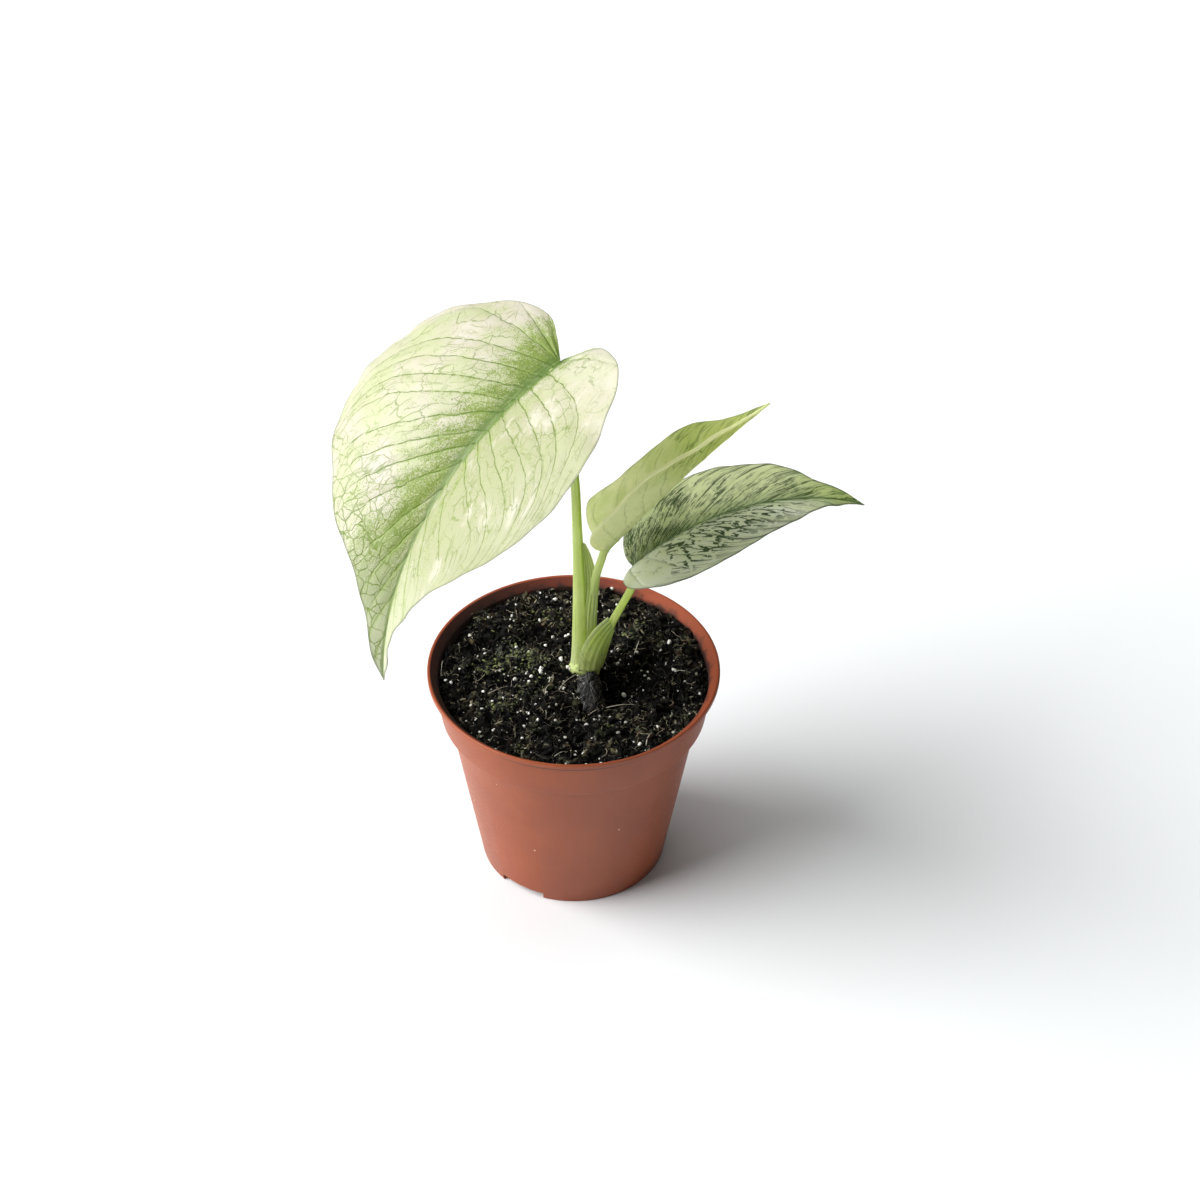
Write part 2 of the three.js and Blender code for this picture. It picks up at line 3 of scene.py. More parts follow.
import math
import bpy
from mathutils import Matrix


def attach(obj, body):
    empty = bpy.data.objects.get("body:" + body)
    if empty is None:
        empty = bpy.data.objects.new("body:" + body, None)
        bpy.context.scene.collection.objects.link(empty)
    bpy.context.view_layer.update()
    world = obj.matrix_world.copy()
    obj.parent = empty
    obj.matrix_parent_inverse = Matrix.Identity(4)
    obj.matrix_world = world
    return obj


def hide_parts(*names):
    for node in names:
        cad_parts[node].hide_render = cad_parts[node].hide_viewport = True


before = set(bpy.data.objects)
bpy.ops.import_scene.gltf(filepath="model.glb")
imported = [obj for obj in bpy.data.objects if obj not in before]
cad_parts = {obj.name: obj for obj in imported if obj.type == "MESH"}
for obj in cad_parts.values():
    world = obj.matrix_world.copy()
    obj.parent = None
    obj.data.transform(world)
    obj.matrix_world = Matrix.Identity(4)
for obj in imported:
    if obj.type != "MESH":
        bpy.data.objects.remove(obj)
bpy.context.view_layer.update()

from types import SimpleNamespace

import bmesh
import bpy
import numpy as np
from mathutils import Vector, noise

MM = 0.001
RAD = math.pi / 180
TURN = 2 * math.pi
UP = np.array([0.0, 0.0, 1.0])
rng = np.random.default_rng(20)

# Camera and studio
CAMERA_PLACE = (0.0, -0.741, 0.712)
CAMERA_DOWN_DEG = 39.6
FOCAL_PX = 3187.0  # focal length in pixels of the 1200 pixel wide photograph
PHOTO_PX = 1200.0
AXIS_PX = (573.6, 600.0)  # the pixel that the lens looks straight at
SENSOR_MM = 36.0
FLOOR_REACH = 4.0
LIGHT_TARGET = (0, 0, 0.05)
LIGHTS = [  # name, place, width in metres, power in watts
    ("key_light", (-3.35, -0.4, 2.35), 4.2, 370),
    ("top_light", (-0.1, 0.7, 2.85), 2.4, 30),
]
WORLD_STRENGTH = 0.12

# Pot
POT_HEIGHT = 0.0723
RIM_RADIUS = 0.045
LIP_HEIGHT = 0.0016
LIP_WIDTH = 0.0008
LIP_FLARE = 0.0024  # how far down the wall flares out to the lip inside
LIP_GROOVE = 0.0003  # a fine groove under the lip
COLLAR_TOP_RADIUS = 0.0432
COLLAR_FOOT_RADIUS = 0.0411
COLLAR_HEIGHT = 0.0152
COLLAR_FOOT = POT_HEIGHT - COLLAR_HEIGHT
STEP_HEIGHT = 0.0014
BODY_TOP = COLLAR_FOOT - STEP_HEIGHT
BODY_TOP_RADIUS = 0.0386
FOOT_RADIUS = 0.0291
WALL = 0.001
FOOT_RING_WIDTH = 0.0024
FLOOR_RAISE = 0.0026
FLOOR_THICKNESS = 0.0014
FLOOR_TOP = FLOOR_RAISE + FLOOR_THICKNESS
PAD_RADIUS = 0.008
NOTCH_DEGREES = (-124.0, 56.0)
NOTCH_SPAN_DEG = 30.0
NOTCH_HEIGHT = 0.0025
DRAIN_COUNT = 6
DRAIN_RADIUS = 0.003
DRAIN_CIRCLE_RADIUS = 0.019
CORNER_RADIUS = 0.35 * MM
POT_SECTORS = 216

# Soil
SOIL_LEVEL = 0.068
SOIL_SLOPE = 0.04
SOIL_RINGS = 150
SOIL_SECTORS = 400
BERM_HEIGHT = 0.4 * MM  # the surface climbs towards the wall at the back
CRUMB_COUNT = 1500
SHARD_COUNT = 6000
FIBRE_COUNT = 1300
GRAIN_COUNT = 340  # perlite beside the grains that show in the photograph
ROOTLET_COUNT = 60
CHIP_COUNT = 150
ROOT_HAIR_COUNT = 420
HOLLOWS = [  # x, y, depth and radius of the dips in the surface, in millimetres
    (15, -3, 6.0, 8.5), (-6, -3, 2.4, 5), (25, 9, 3.0, 7), (-22, 2, 3.0, 8), (-1, -19, 2.2, 6),
    (-31, 12, 2.6, 7), (9, 19, 2.0, 6), (31, -13, 2.0, 6), (-12, 20, 2.2, 6), (-16, -22, 2.2, 6),
]
SEEN_GRAINS = [  # perlite that shows in the photograph: pixel x, pixel y, radius in millimetres
    (542, 671, 1.35), (553, 638, .7), (566, 637, .75), (515, 680, .75), (617, 665, .7), (675, 671, .7),
    (696, 675, .75), (624, 696, .95), (632, 697, .5), (476, 690, .7), (483, 692, .6), (446, 681, .6),
    (451, 683, .65), (540, 621, .65), (555, 600, .7), (612, 589, .6), (478, 657, .6), (485, 654, .5),
    (484, 650, .45), (471, 706, .55), (476, 720, .6), (556, 705, .6), (555, 709, .5), (543, 710, .5),
    (524, 727, .55), (565, 738, .6), (586, 726, .7), (577, 720, .6), (610, 718, .6), (618, 733, .7),
    (616, 728, .5), (640, 745, .85), (658, 727, .75), (641, 671, .6), (645, 676, .5), (560, 741, .5),
    (567, 744, .5), (529, 714, .55), (538, 720, .55), (584, 684, .5), (516, 648, .8), (500, 671, .55),
    (667, 664, .6), (648, 641, .55), (669, 643, .9), (612, 652, .5), (575, 755, .45), (561, 660, .8),
    (568, 668, .8), (561, 651, .5), (609, 611, .5), (493, 731, .4), (459, 648, .4), (521, 700, .4),
]
MOSS_TUFTS = [  # pixel x, pixel y, reach in millimetres, number of leaflets
    (515, 655, 7, 260), (497, 665, 6, 160), (536, 661, 6, 160), (545, 617, 5, 90), (632, 632, 4, 80),
    (560, 625, 4, 60), (505, 705, 6, 110), (470, 670, 6, 80), (530, 690, 6, 80), (640, 625, 3, 40),
    (480, 620, 6, 60), (600, 725, 5, 40),
]
SEEN_ROOTLETS = [  # the pixels of both ends, and how far the middle stands up, in millimetres
    ((576, 675), (558, 692), 1.2), ((606, 708), (641, 706), 1.3), ((634, 655), (639, 640), 1.5),
    ((675, 671), (697, 676), 1.0), ((443, 661), (441, 675), 1.2), ((474, 632), (479, 645), 1.0),
    ((545, 695), (552, 684), 0.8), ((543, 707), (546, 718), 0.8), ((554, 757), (566, 752), 0.6),
    ((573, 735), (579, 722), 0.8), ((488, 694), (511, 686), 0.7), ((585, 718), (604, 708), 0.7),
    ((646, 746), (652, 733), 0.9), ((592, 676), (600, 690), 0.8), ((566, 690), (580, 700), 0.5),
]
CROWN_CENTRE = np.array([3.4, 4.6, 67.2]) * MM
CROWN_RADII = np.array([4.9, 4.0, 4.6]) * MM
ROOTS_CENTRE = np.array([4.8, -4.4, 65.5]) * MM
ROOTS_RADII = np.array([3.7, 8.6, 4.4]) * MM

# Leaves: angles in degrees, and the outlines of the left and the right half in shares of the length.
# A lateral is where a side vein leaves the midrib, in millimetres, and how far it leans forward.
# A stalk is a list of (x, y, z, radius) in millimetres, from the crown up. Its seat is how far ahead of the
# notch and below the midrib it meets the blade, and its radius there, in millimetres too.
LARGE_LEAF = SimpleNamespace(
    length=0.1155, sinus=(-0.0036, 0.0025, 0.1843), heading=-143.1, pitch=-15.3, droop=75.0, roll=8.5,
    twist=-20.7, fold=33.6, curl=(-42.0, -61.4), curl_width=0.45, width=(0.96, 1.04), slim_right=0.0,
    outlines=(
        [(0, 0), (-.035, .035), (-.059, .085), (-.058, .145), (-.045, .215), (-.02, .3), (.025, .367),
         (.09, .412), (.16, .452), (.25, .464), (.34, .443), (.44, .39), (.54, .291), (.663, .169),
         (.76, .094), (.85, .047), (.93, .03), (1, 0)],
        [(0, 0), (-.04, .063), (-.069, .128), (-.056, .212), (-.012, .295), (.06, .396), (.15, .452),
         (.257, .464), (.372, .437), (.47, .372), (.56, .28), (.632, .222), (.675, .157), (.73, .105),
         (.83, .055), (.92, .032), (1, 0)],
    ),
    laterals=(
        [(0, -.5), (0, -.08), (5, .18), (11.5, .2), (16.2, .22), (22.6, .23), (28, .3), (32.5, .38),
         (37.5, .45), (46, .85), (56, 1.2), (67, 1.6), (80, 2)],
        [(0, -.5), (0, -.22), (0, .08), (2, .43), (7, .5), (12.5, .56), (17.3, .62), (21.8, .9),
         (29, .95), (34, 1.1), (40.5, 1.35), (50, 2.1), (60, 2.6), (72, 3), (84, 3)],
    ),
    rows=240, columns=68, thickness=0.42 * MM, rib_width=1.5 * MM, rib_height=0.9 * MM,
    wave=0.4 * MM, wave_length=24 * MM, quilt=0.13 * MM, roll_margin=0.0,
    stalk=[
        (2.0, 5.7, 65.9, 3.4), (2.2, 5.5, 74.1, 2.85), (2.15, 5.1, 92.0, 2.45), (1.55, 4.5, 110.0, 1.75),
        (1.0, 4.1, 126.0, 1.5), (.4, 3.9, 140.9, 1.42), (-1.6, 3.5, 163.9, 1.35),
    ],
    seat=(2.6, 1.8, 1.15),
)
YOUNG_LATERALS = [
    (0, -.5), (0, 0), (5, .5), (11, .8), (18, 1), (26, 1.2), (35, 1.5), (45, 1.8), (56, 2.2), (67, 2.6),
]
YOUNG_LEAF = SimpleNamespace(  # still half folded: the near half stands in front of the far one
    length=0.0729, sinus=(0.0095, 0.0016, 0.1174), heading=-3.3, pitch=53.7, droop=7.5, roll=-15.5,
    twist=-2.4, fold=36.0, curl=(16.4, -13.0), curl_width=0.3, width=(1.0, 1.0), slim_right=0.0,
    outlines=(
        [(0, 0), (-.024, .06), (-.037, .12), (-.034, .178), (.005, .236), (.06, .243), (.165, .226),
         (.355, .212), (.5, .207), (.61, .18), (.69, .137), (.77, .09), (.876, .045), (1, 0)],
        [(0, 0), (.002, .05), (.022, .105), (.058, .155), (.13, .197), (.226, .213), (.385, .242),
         (.5, .224), (.596, .182), (.66, .128), (.75, .09), (.85, .05), (1, 0)],
    ),
    laterals=(YOUNG_LATERALS, YOUNG_LATERALS),
    rows=190, columns=48, thickness=0.5 * MM, rib_width=1.3 * MM, rib_height=0.9 * MM,
    wave=0.25 * MM, wave_length=23 * MM, quilt=0.1 * MM, roll_margin=0.45 * MM,
    stalk=[
        (4.9, 6.1, 66.2, 1.7), (5.3, 5.8, 78.1, 1.6), (5.7, 5.0, 89.0, 1.55), (6.1, 4.0, 97.5, 1.45),
        (6.8, 2.6, 106.0, 1.35), (8.2, 1.2, 113.0, 1.3),
    ],
    seat=(-0.6, 0.3, 1.25),
)
SPECKLED_LEAF = SimpleNamespace(
    length=0.0775, sinus=(0.018, 0.0025, 0.1098), heading=14.7, pitch=41.3, droop=68.1, roll=-29.1,
    twist=31.0, fold=18.0, curl=(2.6, -69.4), curl_width=0.3, width=(0.96, 1.04), slim_right=0.3,
    outlines=(
        [(0, 0), (-.015, .062), (-.021, .135), (-.01, .212), (.03, .28), (.12, .316), (.27, .31),
         (.395, .284), (.527, .246), (.635, .21), (.738, .156), (.822, .09), (.9, .056), (1, 0)],
        [(0, 0), (-.015, .059), (-.032, .135), (-.001, .211), (.121, .29), (.301, .307), (.48, .265),
         (.652, .192), (.802, .099), (.905, .046), (1, 0)],
    ),
    laterals=(
        [(0, -.4), (0, .2), (3, .7), (8, 1.1), (14, 1.3), (20, 1.5), (27, 1.7), (35, 2), (44, 2.4),
         (54, 2.8)],
        [(0, -.4), (0, .1), (3, .5), (8, .8), (14, 1), (20, 1.1), (27, 1.3), (35, 1.6), (44, 2),
         (54, 2.4)],
    ),
    rows=180, columns=46, thickness=0.42 * MM, rib_width=1.1 * MM, rib_height=0.8 * MM,
    wave=0.25 * MM, wave_length=17 * MM, quilt=0.16 * MM, roll_margin=0.0,
    stalk=[
        (6.2, 3.9, 66.6, 2.0), (7.6, 3.1, 72.7, 1.6), (9.3, 2.8, 79.6, 1.5), (11.6, 2.7, 87.3, 1.4),
        (14.9, 2.6, 95.2, 1.25), (17.6, 2.5, 101.9, 1.3),
    ],
    seat=(-0.4, 1.0, 1.25),
)
MARGIN_BEND = 0.6  # how strongly the side veins turn forward along the margin
LEAF_BUMP = (0.00035, 0.7)  # depth in metres and strength of the veins' fine relief
STALK_SIDES = 32
STALK_ROWS = 150
CHANNEL_DEPTH = 0.16
SHEATH_ROWS = 70
SHEATH_COLUMNS = 36


# Small helpers

def linear(colour):
    """A colour of 0 to 255 screen values as linear light."""
    shares = [value / 255 for value in colour]
    return (*(s / 12.92 if s <= 0.04045 else ((s + 0.055) / 1.055) ** 2.4 for s in shares), 1.0)


def smoothstep(low, high, value):
    share = np.clip((value - low) / (high - low), 0, 1)
    return share * share * (3 - 2 * share)


def lerp(a, b, share):
    return a + (b - a) * share


def spline(stations, shares):
    """Points on a Catmull-Rom curve through the stations, for shares from 0 to 1."""
    points = np.asarray(stations, float)
    points = np.vstack([2 * points[0] - points[1], points, 2 * points[-1] - points[-2]])
    spans = len(points) - 3
    at = np.clip(np.asarray(shares, float) * spans, 0, spans - 1e-9)
    index = at.astype(int)
    t = (at - index)[:, None]
    a, b, c, d = (points[index + k] for k in range(4))
    square, cube = 2 * a - 5 * b + 4 * c - d, 3 * b - a - 3 * c + d
    return 0.5 * (2 * b + (c - a) * t + square * t ** 2 + cube * t ** 3)


def normalised(vectors):
    return vectors / np.linalg.norm(vectors, axis=-1, keepdims=True)


def linked(name, data):
    """An object in the scene that shows the data."""
    obj = bpy.data.objects.new(name, data)
    bpy.context.scene.collection.objects.link(obj)
    return obj


def mesh_of(name, shape, layers=()):
    """A mesh of joined points with its faces turned outwards. The layers are values on its points."""
    mesh = bpy.data.meshes.new(name)
    points, faces = shape
    mesh.from_pydata(np.asarray(points).tolist(), [], [list(face) for face in faces])
    for label, values in dict(layers).items():
        values = np.asarray(values, np.float32)
        kind, field = ("FLOAT_VECTOR", "vector") if values.ndim == 2 else ("FLOAT", "value")
        mesh.attributes.new(label, kind, "POINT").data.foreach_set(field, values.ravel())
    work = bmesh.new()
    work.from_mesh(mesh)
    bmesh.ops.remove_doubles(work, verts=work.verts, dist=1e-7)
    bmesh.ops.dissolve_degenerate(work, edges=work.edges, dist=1e-8)
    bmesh.ops.recalc_face_normals(work, faces=work.faces)
    work.to_mesh(mesh)
    work.free()
    return mesh


def piece(name, shape, material, nodes=(), sharp_deg=None, layers=()):
    """A mesh in place that rides with the pot and stands for the named nodes."""
    obj = linked(name, mesh_of(name, shape, layers))
    smooth(obj.data, sharp_deg)
    obj.data.materials.append(material)
    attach(obj, "root")
    if nodes:
        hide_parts(*nodes)
    return obj


def smooth(mesh, sharp_deg):
    mesh.shade_smooth()
    if sharp_deg is not None:
        mesh.set_sharp_from_angle(angle=sharp_deg * RAD)


def grid_faces(rows, columns, closed=False):
    """Quads over a grid of points that is numbered row by row."""
    faces = []
    for u in range(rows - 1):
        for v in range(columns if closed else columns - 1):
            a = u * columns + v
            b = u * columns + (v + 1) % columns
            faces.append((a, b, b + columns, a + columns))
    return faces


def turned(profile, sectors):
    """A profile of (radius, height) points turned round the Z axis."""
    radii, heights = np.array(profile).T
    angles = np.arange(sectors) / sectors * TURN
    z = np.repeat(heights[:, None], sectors, axis=1)
    points = np.stack([radii[:, None] * np.cos(angles), radii[:, None] * np.sin(angles), z], axis=-1)
    return points.reshape(-1, 3), grid_faces(len(profile), sectors, closed=True)


def ball(subdivisions):
    """The points and faces of a unit ball of triangles."""
    shape = bmesh.new()
    bmesh.ops.create_icosphere(shape, subdivisions=subdivisions, radius=1)
    points = np.array([vert.co for vert in shape.verts])
    faces = [tuple(vert.index for vert in face.verts) for face in shape.faces]
    shape.free()
    return points, faces


BALLS = {level: ball(level) for level in (1, 2, 3)}


def lump(centre, radii, roughness, level=2):
    """An irregular grain: a ball stretched, knocked about and turned."""
    points, faces = BALLS[level]
    knocks = 1 + roughness * rng.uniform(-1, 1, len(points))[:, None]
    turn, _ = np.linalg.qr(rng.normal(size=(3, 3)))
    return (points * knocks * np.asarray(radii)) @ turn.T + centre, faces


def tube(path, radii, sides, reference=None, scale=1.0):
    """A closed tube along a path. The scale is the radius's share at each point round the section."""
    path = np.asarray(path, float)
    tangents = normalised(np.gradient(path, axis=0))
    if reference is None:
        reference = UP if abs(np.mean(tangents[:, 2])) < 0.7 else np.array([1.0, 0, 0])
    right = normalised(reference - np.sum(reference * tangents, axis=1)[:, None] * tangents)
    front = np.cross(tangents, right)
    angles = np.arange(sides) / sides * TURN
    ring = right[:, None] * (scale * np.cos(angles))[:, None]
    ring = ring + front[:, None] * (scale * np.sin(angles))[:, None]
    points = path[:, None] + np.asarray(radii, float)[:, None, None] * ring
    faces = grid_faces(len(path), sides, closed=True)
    faces.append(tuple(range(sides))[::-1])
    last = (len(path) - 1) * sides
    faces.append(tuple(range(last, last + sides)))
    return points.reshape(-1, 3), faces


def slab(middle, normals, above, below):
    """A closed plate from a grid of points, with its two faces at their own distances."""
    rows, columns = middle.shape[:2]
    top = (middle + normals * above[..., None]).reshape(-1, 3)
    bottom = (middle - normals * below[..., None]).reshape(-1, 3)
    count = rows * columns
    upper = grid_faces(rows, columns)
    faces = upper + [tuple(corner + count for corner in reversed(face)) for face in upper]
    rim = [u * columns for u in range(rows)]
    rim += [(rows - 1) * columns + v for v in range(1, columns)]
    rim += [u * columns + columns - 1 for u in range(rows - 2, -1, -1)]
    rim += list(range(columns - 2, 0, -1))
    faces += [(a, b, b + count, a + count) for a, b in zip(rim, rim[1:] + rim[:1])]
    return np.vstack([top, bottom]), faces


class Heap:
    """Many shapes gathered into one mesh, with layers of values on their points."""

    def __init__(self):
        self.points = []
        self.faces = []
        self.layers = {}
        self.count = 0

    def add(self, shape, **layers):
        points, faces = shape
        self.points.append(points)
        self.faces += [tuple(self.count + corner for corner in face) for face in faces]
        self.count += len(points)
        for label, values in layers.items():
            values = np.full(len(points), values) if np.isscalar(values) else values
            self.layers.setdefault(label, []).append(values)

    def make(self, name, material, sharp_deg=None, nodes=()):
        layers = {label: np.concatenate(values) for label, values in self.layers.items()}
        piece(name, (np.vstack(self.points), self.faces), material, nodes, sharp_deg, layers)


# Shader nodes

class Value:
    """What a node gives out, with arithmetic that makes the nodes it takes."""

    def __init__(self, shader, socket):
        self.shader = shader
        self.socket = socket

    def __add__(self, other):
        return self.shader.math("ADD", self, other)

    def __sub__(self, other):
        return self.shader.math("SUBTRACT", self, other)

    def __rsub__(self, other):
        return self.shader.math("SUBTRACT", other, self)

    def __mul__(self, other):
        return self.shader.math("MULTIPLY", self, other)

    def __truediv__(self, other):
        return self.shader.math("DIVIDE", self, other)

    def __abs__(self):
        return self.shader.math("ABSOLUTE", self)

    def ramp(self, low, high, start=0.0, end=1.0):
        """From start to end as the value goes from low to high, with soft ends."""
        if low > high:
            low, high, start, end = high, low, end, start
        inputs = {"Value": self, "From Min": low, "From Max": high, "To Min": start, "To Max": end}
        return self.shader.node("MapRange", inputs, interpolation_type="SMOOTHSTEP")

    def other(self, output):
        """Another output of the same node."""
        return Value(self.shader, self.socket.node.outputs[output])


class Shader:
    """One material, with a call for each kind of node. Lengths in its coordinates are millimetres."""

    def __init__(self, name):
        self.material = bpy.data.materials.new(name)
        self.material.use_nodes = True
        self.tree = self.material.node_tree
        self.tree.nodes.clear()

    def node(self, kind, inputs, output=0, **settings):
        made = self.tree.nodes.new("ShaderNode" + kind)
        for key, value in settings.items():
            setattr(made, key, value)
        for key, value in inputs.items():
            if isinstance(value, Value):
                self.tree.links.new(value.socket, made.inputs[key])
            else:
                made.inputs[key].default_value = value
        return Value(self, made.outputs[output])

    def attribute(self, name, output="Fac"):
        return self.node("Attribute", {}, output, attribute_name=name)

    def place(self):
        """The point on the object, in millimetres."""
        return self.scaled(self.node("TexCoord", {}, "Object"), (1000, 1000, 1000))

    def vector(self, operation, a, b):
        return self.node("VectorMath", {0: a, 1: b}, operation=operation)

    def scaled(self, vector, scale):
        return self.vector("MULTIPLY", vector, scale)

    def split(self, vector):
        first = self.node("SeparateXYZ", {0: vector})
        return [first.other(axis) for axis in "XYZ"]

    def joined(self, x, y):
        return self.node("CombineXYZ", {0: x, 1: y})

    def math(self, operation, a, b=0.0):
        return self.node("Math", {0: a, 1: b}, operation=operation)

    def most(self, a, b):
        return self.math("MAXIMUM", a, b)

    def noise(self, vector, scale, detail=3.0, roughness=0.5):
        inputs = {"Vector": vector, "Scale": scale, "Detail": detail, "Roughness": roughness}
        return self.node("TexNoise", inputs)

    def warped(self, vector, scale, amount):
        """The vector moved about by noise, by up to about amount."""
        noise_colour = self.noise(vector, scale, 2.0).other("Color")
        centred = self.vector("SUBTRACT", noise_colour, (0.5, 0.5, 0.5))
        return self.vector("ADD", vector, self.scaled(centred, (2 * amount, 2 * amount, 2 * amount)))

    def cells(self, vector, scale, feature="F1"):
        return self.node("TexVoronoi", {"Vector": vector, "Scale": scale}, "Distance", feature=feature)

    def net(self, vector, scale, thin, wide):
        """1 on the borders between cells, 0 inside them."""
        return self.cells(vector, scale, "DISTANCE_TO_EDGE").ramp(wide, thin)

    def ridges(self, vector, scale, width):
        """1 on crooked thin lines, the level lines of a noise."""
        return abs(self.noise(vector, scale, 3, 0.6) - 0.5).ramp(width, 0.5 * width)

    def dashes(self, vector, scale, density, size):
        """1 inside a small mark in each cell that the density picks, from none at 0 to all at 1."""
        away = self.cells(vector, scale)
        lot = self.split(away.other("Color"))[0]
        picked = self.math("SUBTRACT", density, lot).ramp(-0.03, 0.03)
        return away.ramp(size, 0.6 * size) * picked

    def speckle(self, vector, scale, density):
        """Ragged small spots: almost none where the density is 0, almost everywhere where it is 1."""
        return (self.noise(vector, scale, 4, 0.65) + density * 0.3).ramp(0.645, 0.69)

    def mix(self, share, a, b):
        """A colour between two. One given as three numbers is in screen values of 0 to 255."""
        a, b = (linear(c) if isinstance(c, tuple) and len(c) == 3 else c for c in (a, b))
        return self.node("Mix", {0: share, 6: a, 7: b}, 2, data_type="RGBA")

    def prime(self, share, a, b):
        """The surface's first colour, between two."""
        self.colour = self.mix(share, a, b)

    def paint(self, share, colour):
        """Lays a colour over the surface, by its share."""
        self.colour = self.mix(share, self.colour, colour)

    def finish(self, roughness, relief=None, depth=0.0, strength=1.0, specular=0.5, glow=0.0, through=None):
        """Ends the material. The glow is the share of light that comes through it, in the colour through."""
        surface = {"Base Color": self.colour, "Roughness": roughness, "Specular IOR Level": specular}
        if relief is not None:
            bump = {"Height": relief, "Distance": depth, "Strength": strength}
            surface["Normal"] = self.node("Bump", bump)
        shader = self.node("BsdfPrincipled", surface)
        if glow:
            light = self.node("BsdfTranslucent", {"Color": through or self.colour})
            shader = self.node("MixShader", {0: glow, 1: shader, 2: light})
        output = self.tree.nodes.new("ShaderNodeOutputMaterial")
        self.tree.links.new(shader.socket, output.inputs["Surface"])
        return self.material


# Materials

def pot_material():
    """Moulded terracotta-coloured plastic with faint flow marks, scuffs and dust, and painted shade inside
    and under the lip.
    """
    s = Shader("pot_plastic")
    place = s.place()
    cloud = s.noise(place, 0.05, 3)
    flow = s.noise(s.scaled(place, (1, 1, 0.12)), 0.35, 3)
    fine = s.noise(place, 2.2, 3, 0.6)
    s.prime(cloud.ramp(0.35, 0.68), (141, 64, 26), (150, 71, 31))
    s.paint(flow.ramp(0.5, 0.75, 0, 0.3), (136, 62, 33))
    s.paint(fine.ramp(0.55, 0.8, 0, 0.25), (164, 86, 54))
    s.paint(s.dashes(place, 0.16, 0.26, 0.055), (238, 205, 180))
    x, y, z = s.split(place)
    radius = s.math("SQRT", x * x + y * y)
    wall_middle = z * 0.138 + 32.7 + z.ramp(69.9, 72.3, 0, 1.9)
    inside = (wall_middle - radius).ramp(-0.1, 0.1) * z.ramp(58, 60)
    blots = s.noise(place, 0.3, 4, 0.6)
    # Damp dirt and painted shade inside the wall: darker towards the left and the back, and further down
    # towards the soil.
    damp_and_shade = (x + blots * 22).ramp(40, 18) * z.ramp(72.28, 72.05, 0, 0.92)
    edge = (z + blots * 5).ramp(73.8, 71.4, 0, 0.9)
    # A painted shade line on the collar just under the lip.
    under_lip_shade = abs(z - 68.9).ramp(0.6, 0.2, 0, 0.75)
    outside = (radius - wall_middle).ramp(-0.1, 0.1)
    s.paint(inside * 0.45, (150, 66, 40))
    # The dark inner-wall colour, partly damp dirt and partly painted shade, darkest on the left.
    stain_and_shade = s.mix(x.ramp(6, -32), (108, 42, 24), (40, 13, 6))
    s.paint(inside * damp_and_shade, stain_and_shade)
    s.paint(inside * edge, (34, 18, 12))
    s.paint(outside * under_lip_shade, (74, 32, 18))
    roughness = s.most(fine.ramp(0.3, 0.7, 0.36, 0.5), inside * 0.8)
    return s.finish(roughness, flow * 0.5 + fine * 0.25, 0.00012, 0.5)


def earth_material(name, dark, light, green, gloss, shine=0.35):
    """Damp peat: dark crumbs with paler and greener ones, with painted shade in random blobs and in the
    hollows.
    """
    s = Shader(name)
    place = s.place()
    tone = s.attribute("tone")
    coarse = s.noise(place, 0.35, 4, 0.6)
    fine = s.noise(place, 2.4, 4, 0.65)
    rich = s.noise(place, 0.12, 3).ramp(0.47, 0.6)
    share = tone * rich.ramp(0, 1, 0.75, 1.5) + fine.ramp(0.46, 0.8) * 0.14
    light = s.mix(rich * 0.5, light, (106, 84, 60))
    s.prime(share, dark, light)
    s.paint(coarse.ramp(0.5, 0.72, 0, 0.6), green)
    # Near-black painted shade laid in random blobs over the peat.
    shade_blobs = s.noise(s.scaled(place, (1, 1, 0.4)), 0.16, 5, 0.65).ramp(0.48, 0.56, 0.95, 0)
    s.paint(shade_blobs, (5, 5, 4))
    _, y, z = s.split(place)
    level = y * SOIL_SLOPE + (SOIL_LEVEL / MM - 0.6)
    # Painted shade: darker the further the surface lies below the soil's level, so hollows turn near-black.
    s.paint((level - z).ramp(0, 2.6, 0, 0.94), (4, 4, 3))
    height = fine + s.noise(place, 6.0, 2) * 0.4
    return s.finish(fine.ramp(0.3, 0.7, gloss, 0.92), height, 0.0005, 0.9, shine)


def grain_material():
    """Perlite: white foamed grains, some stained by the peat."""
    s = Shader("perlite")
    place = s.place()
    tone = s.attribute("tone")
    pits = s.cells(place, 3.2)
    s.prime(tone.ramp(0, 1), (226, 220, 210), (255, 254, 248))
    s.paint(s.noise(place, 0.9, 3).ramp(0.52, 0.75, 0, 0.45), (150, 138, 118))
    return s.finish(pits.ramp(0.1, 0.6, 0.9, 0.6), pits, 0.0002, 0.8)


def strand_material(name, dark, light):
    """Fibres and rootlets, each with its own tone and darker knots."""
    s = Shader(name)
    place = s.place()
    tone = s.attribute("tone")
    knots = s.noise(place, 1.6, 3)
    s.prime(tone, dark, light)
    s.paint(knots.ramp(0.55, 0.8, 0, 0.6), dark)
    return s.finish(knots.ramp(0.3, 0.7, 0.55, 0.85), knots, 0.0002, 0.6)


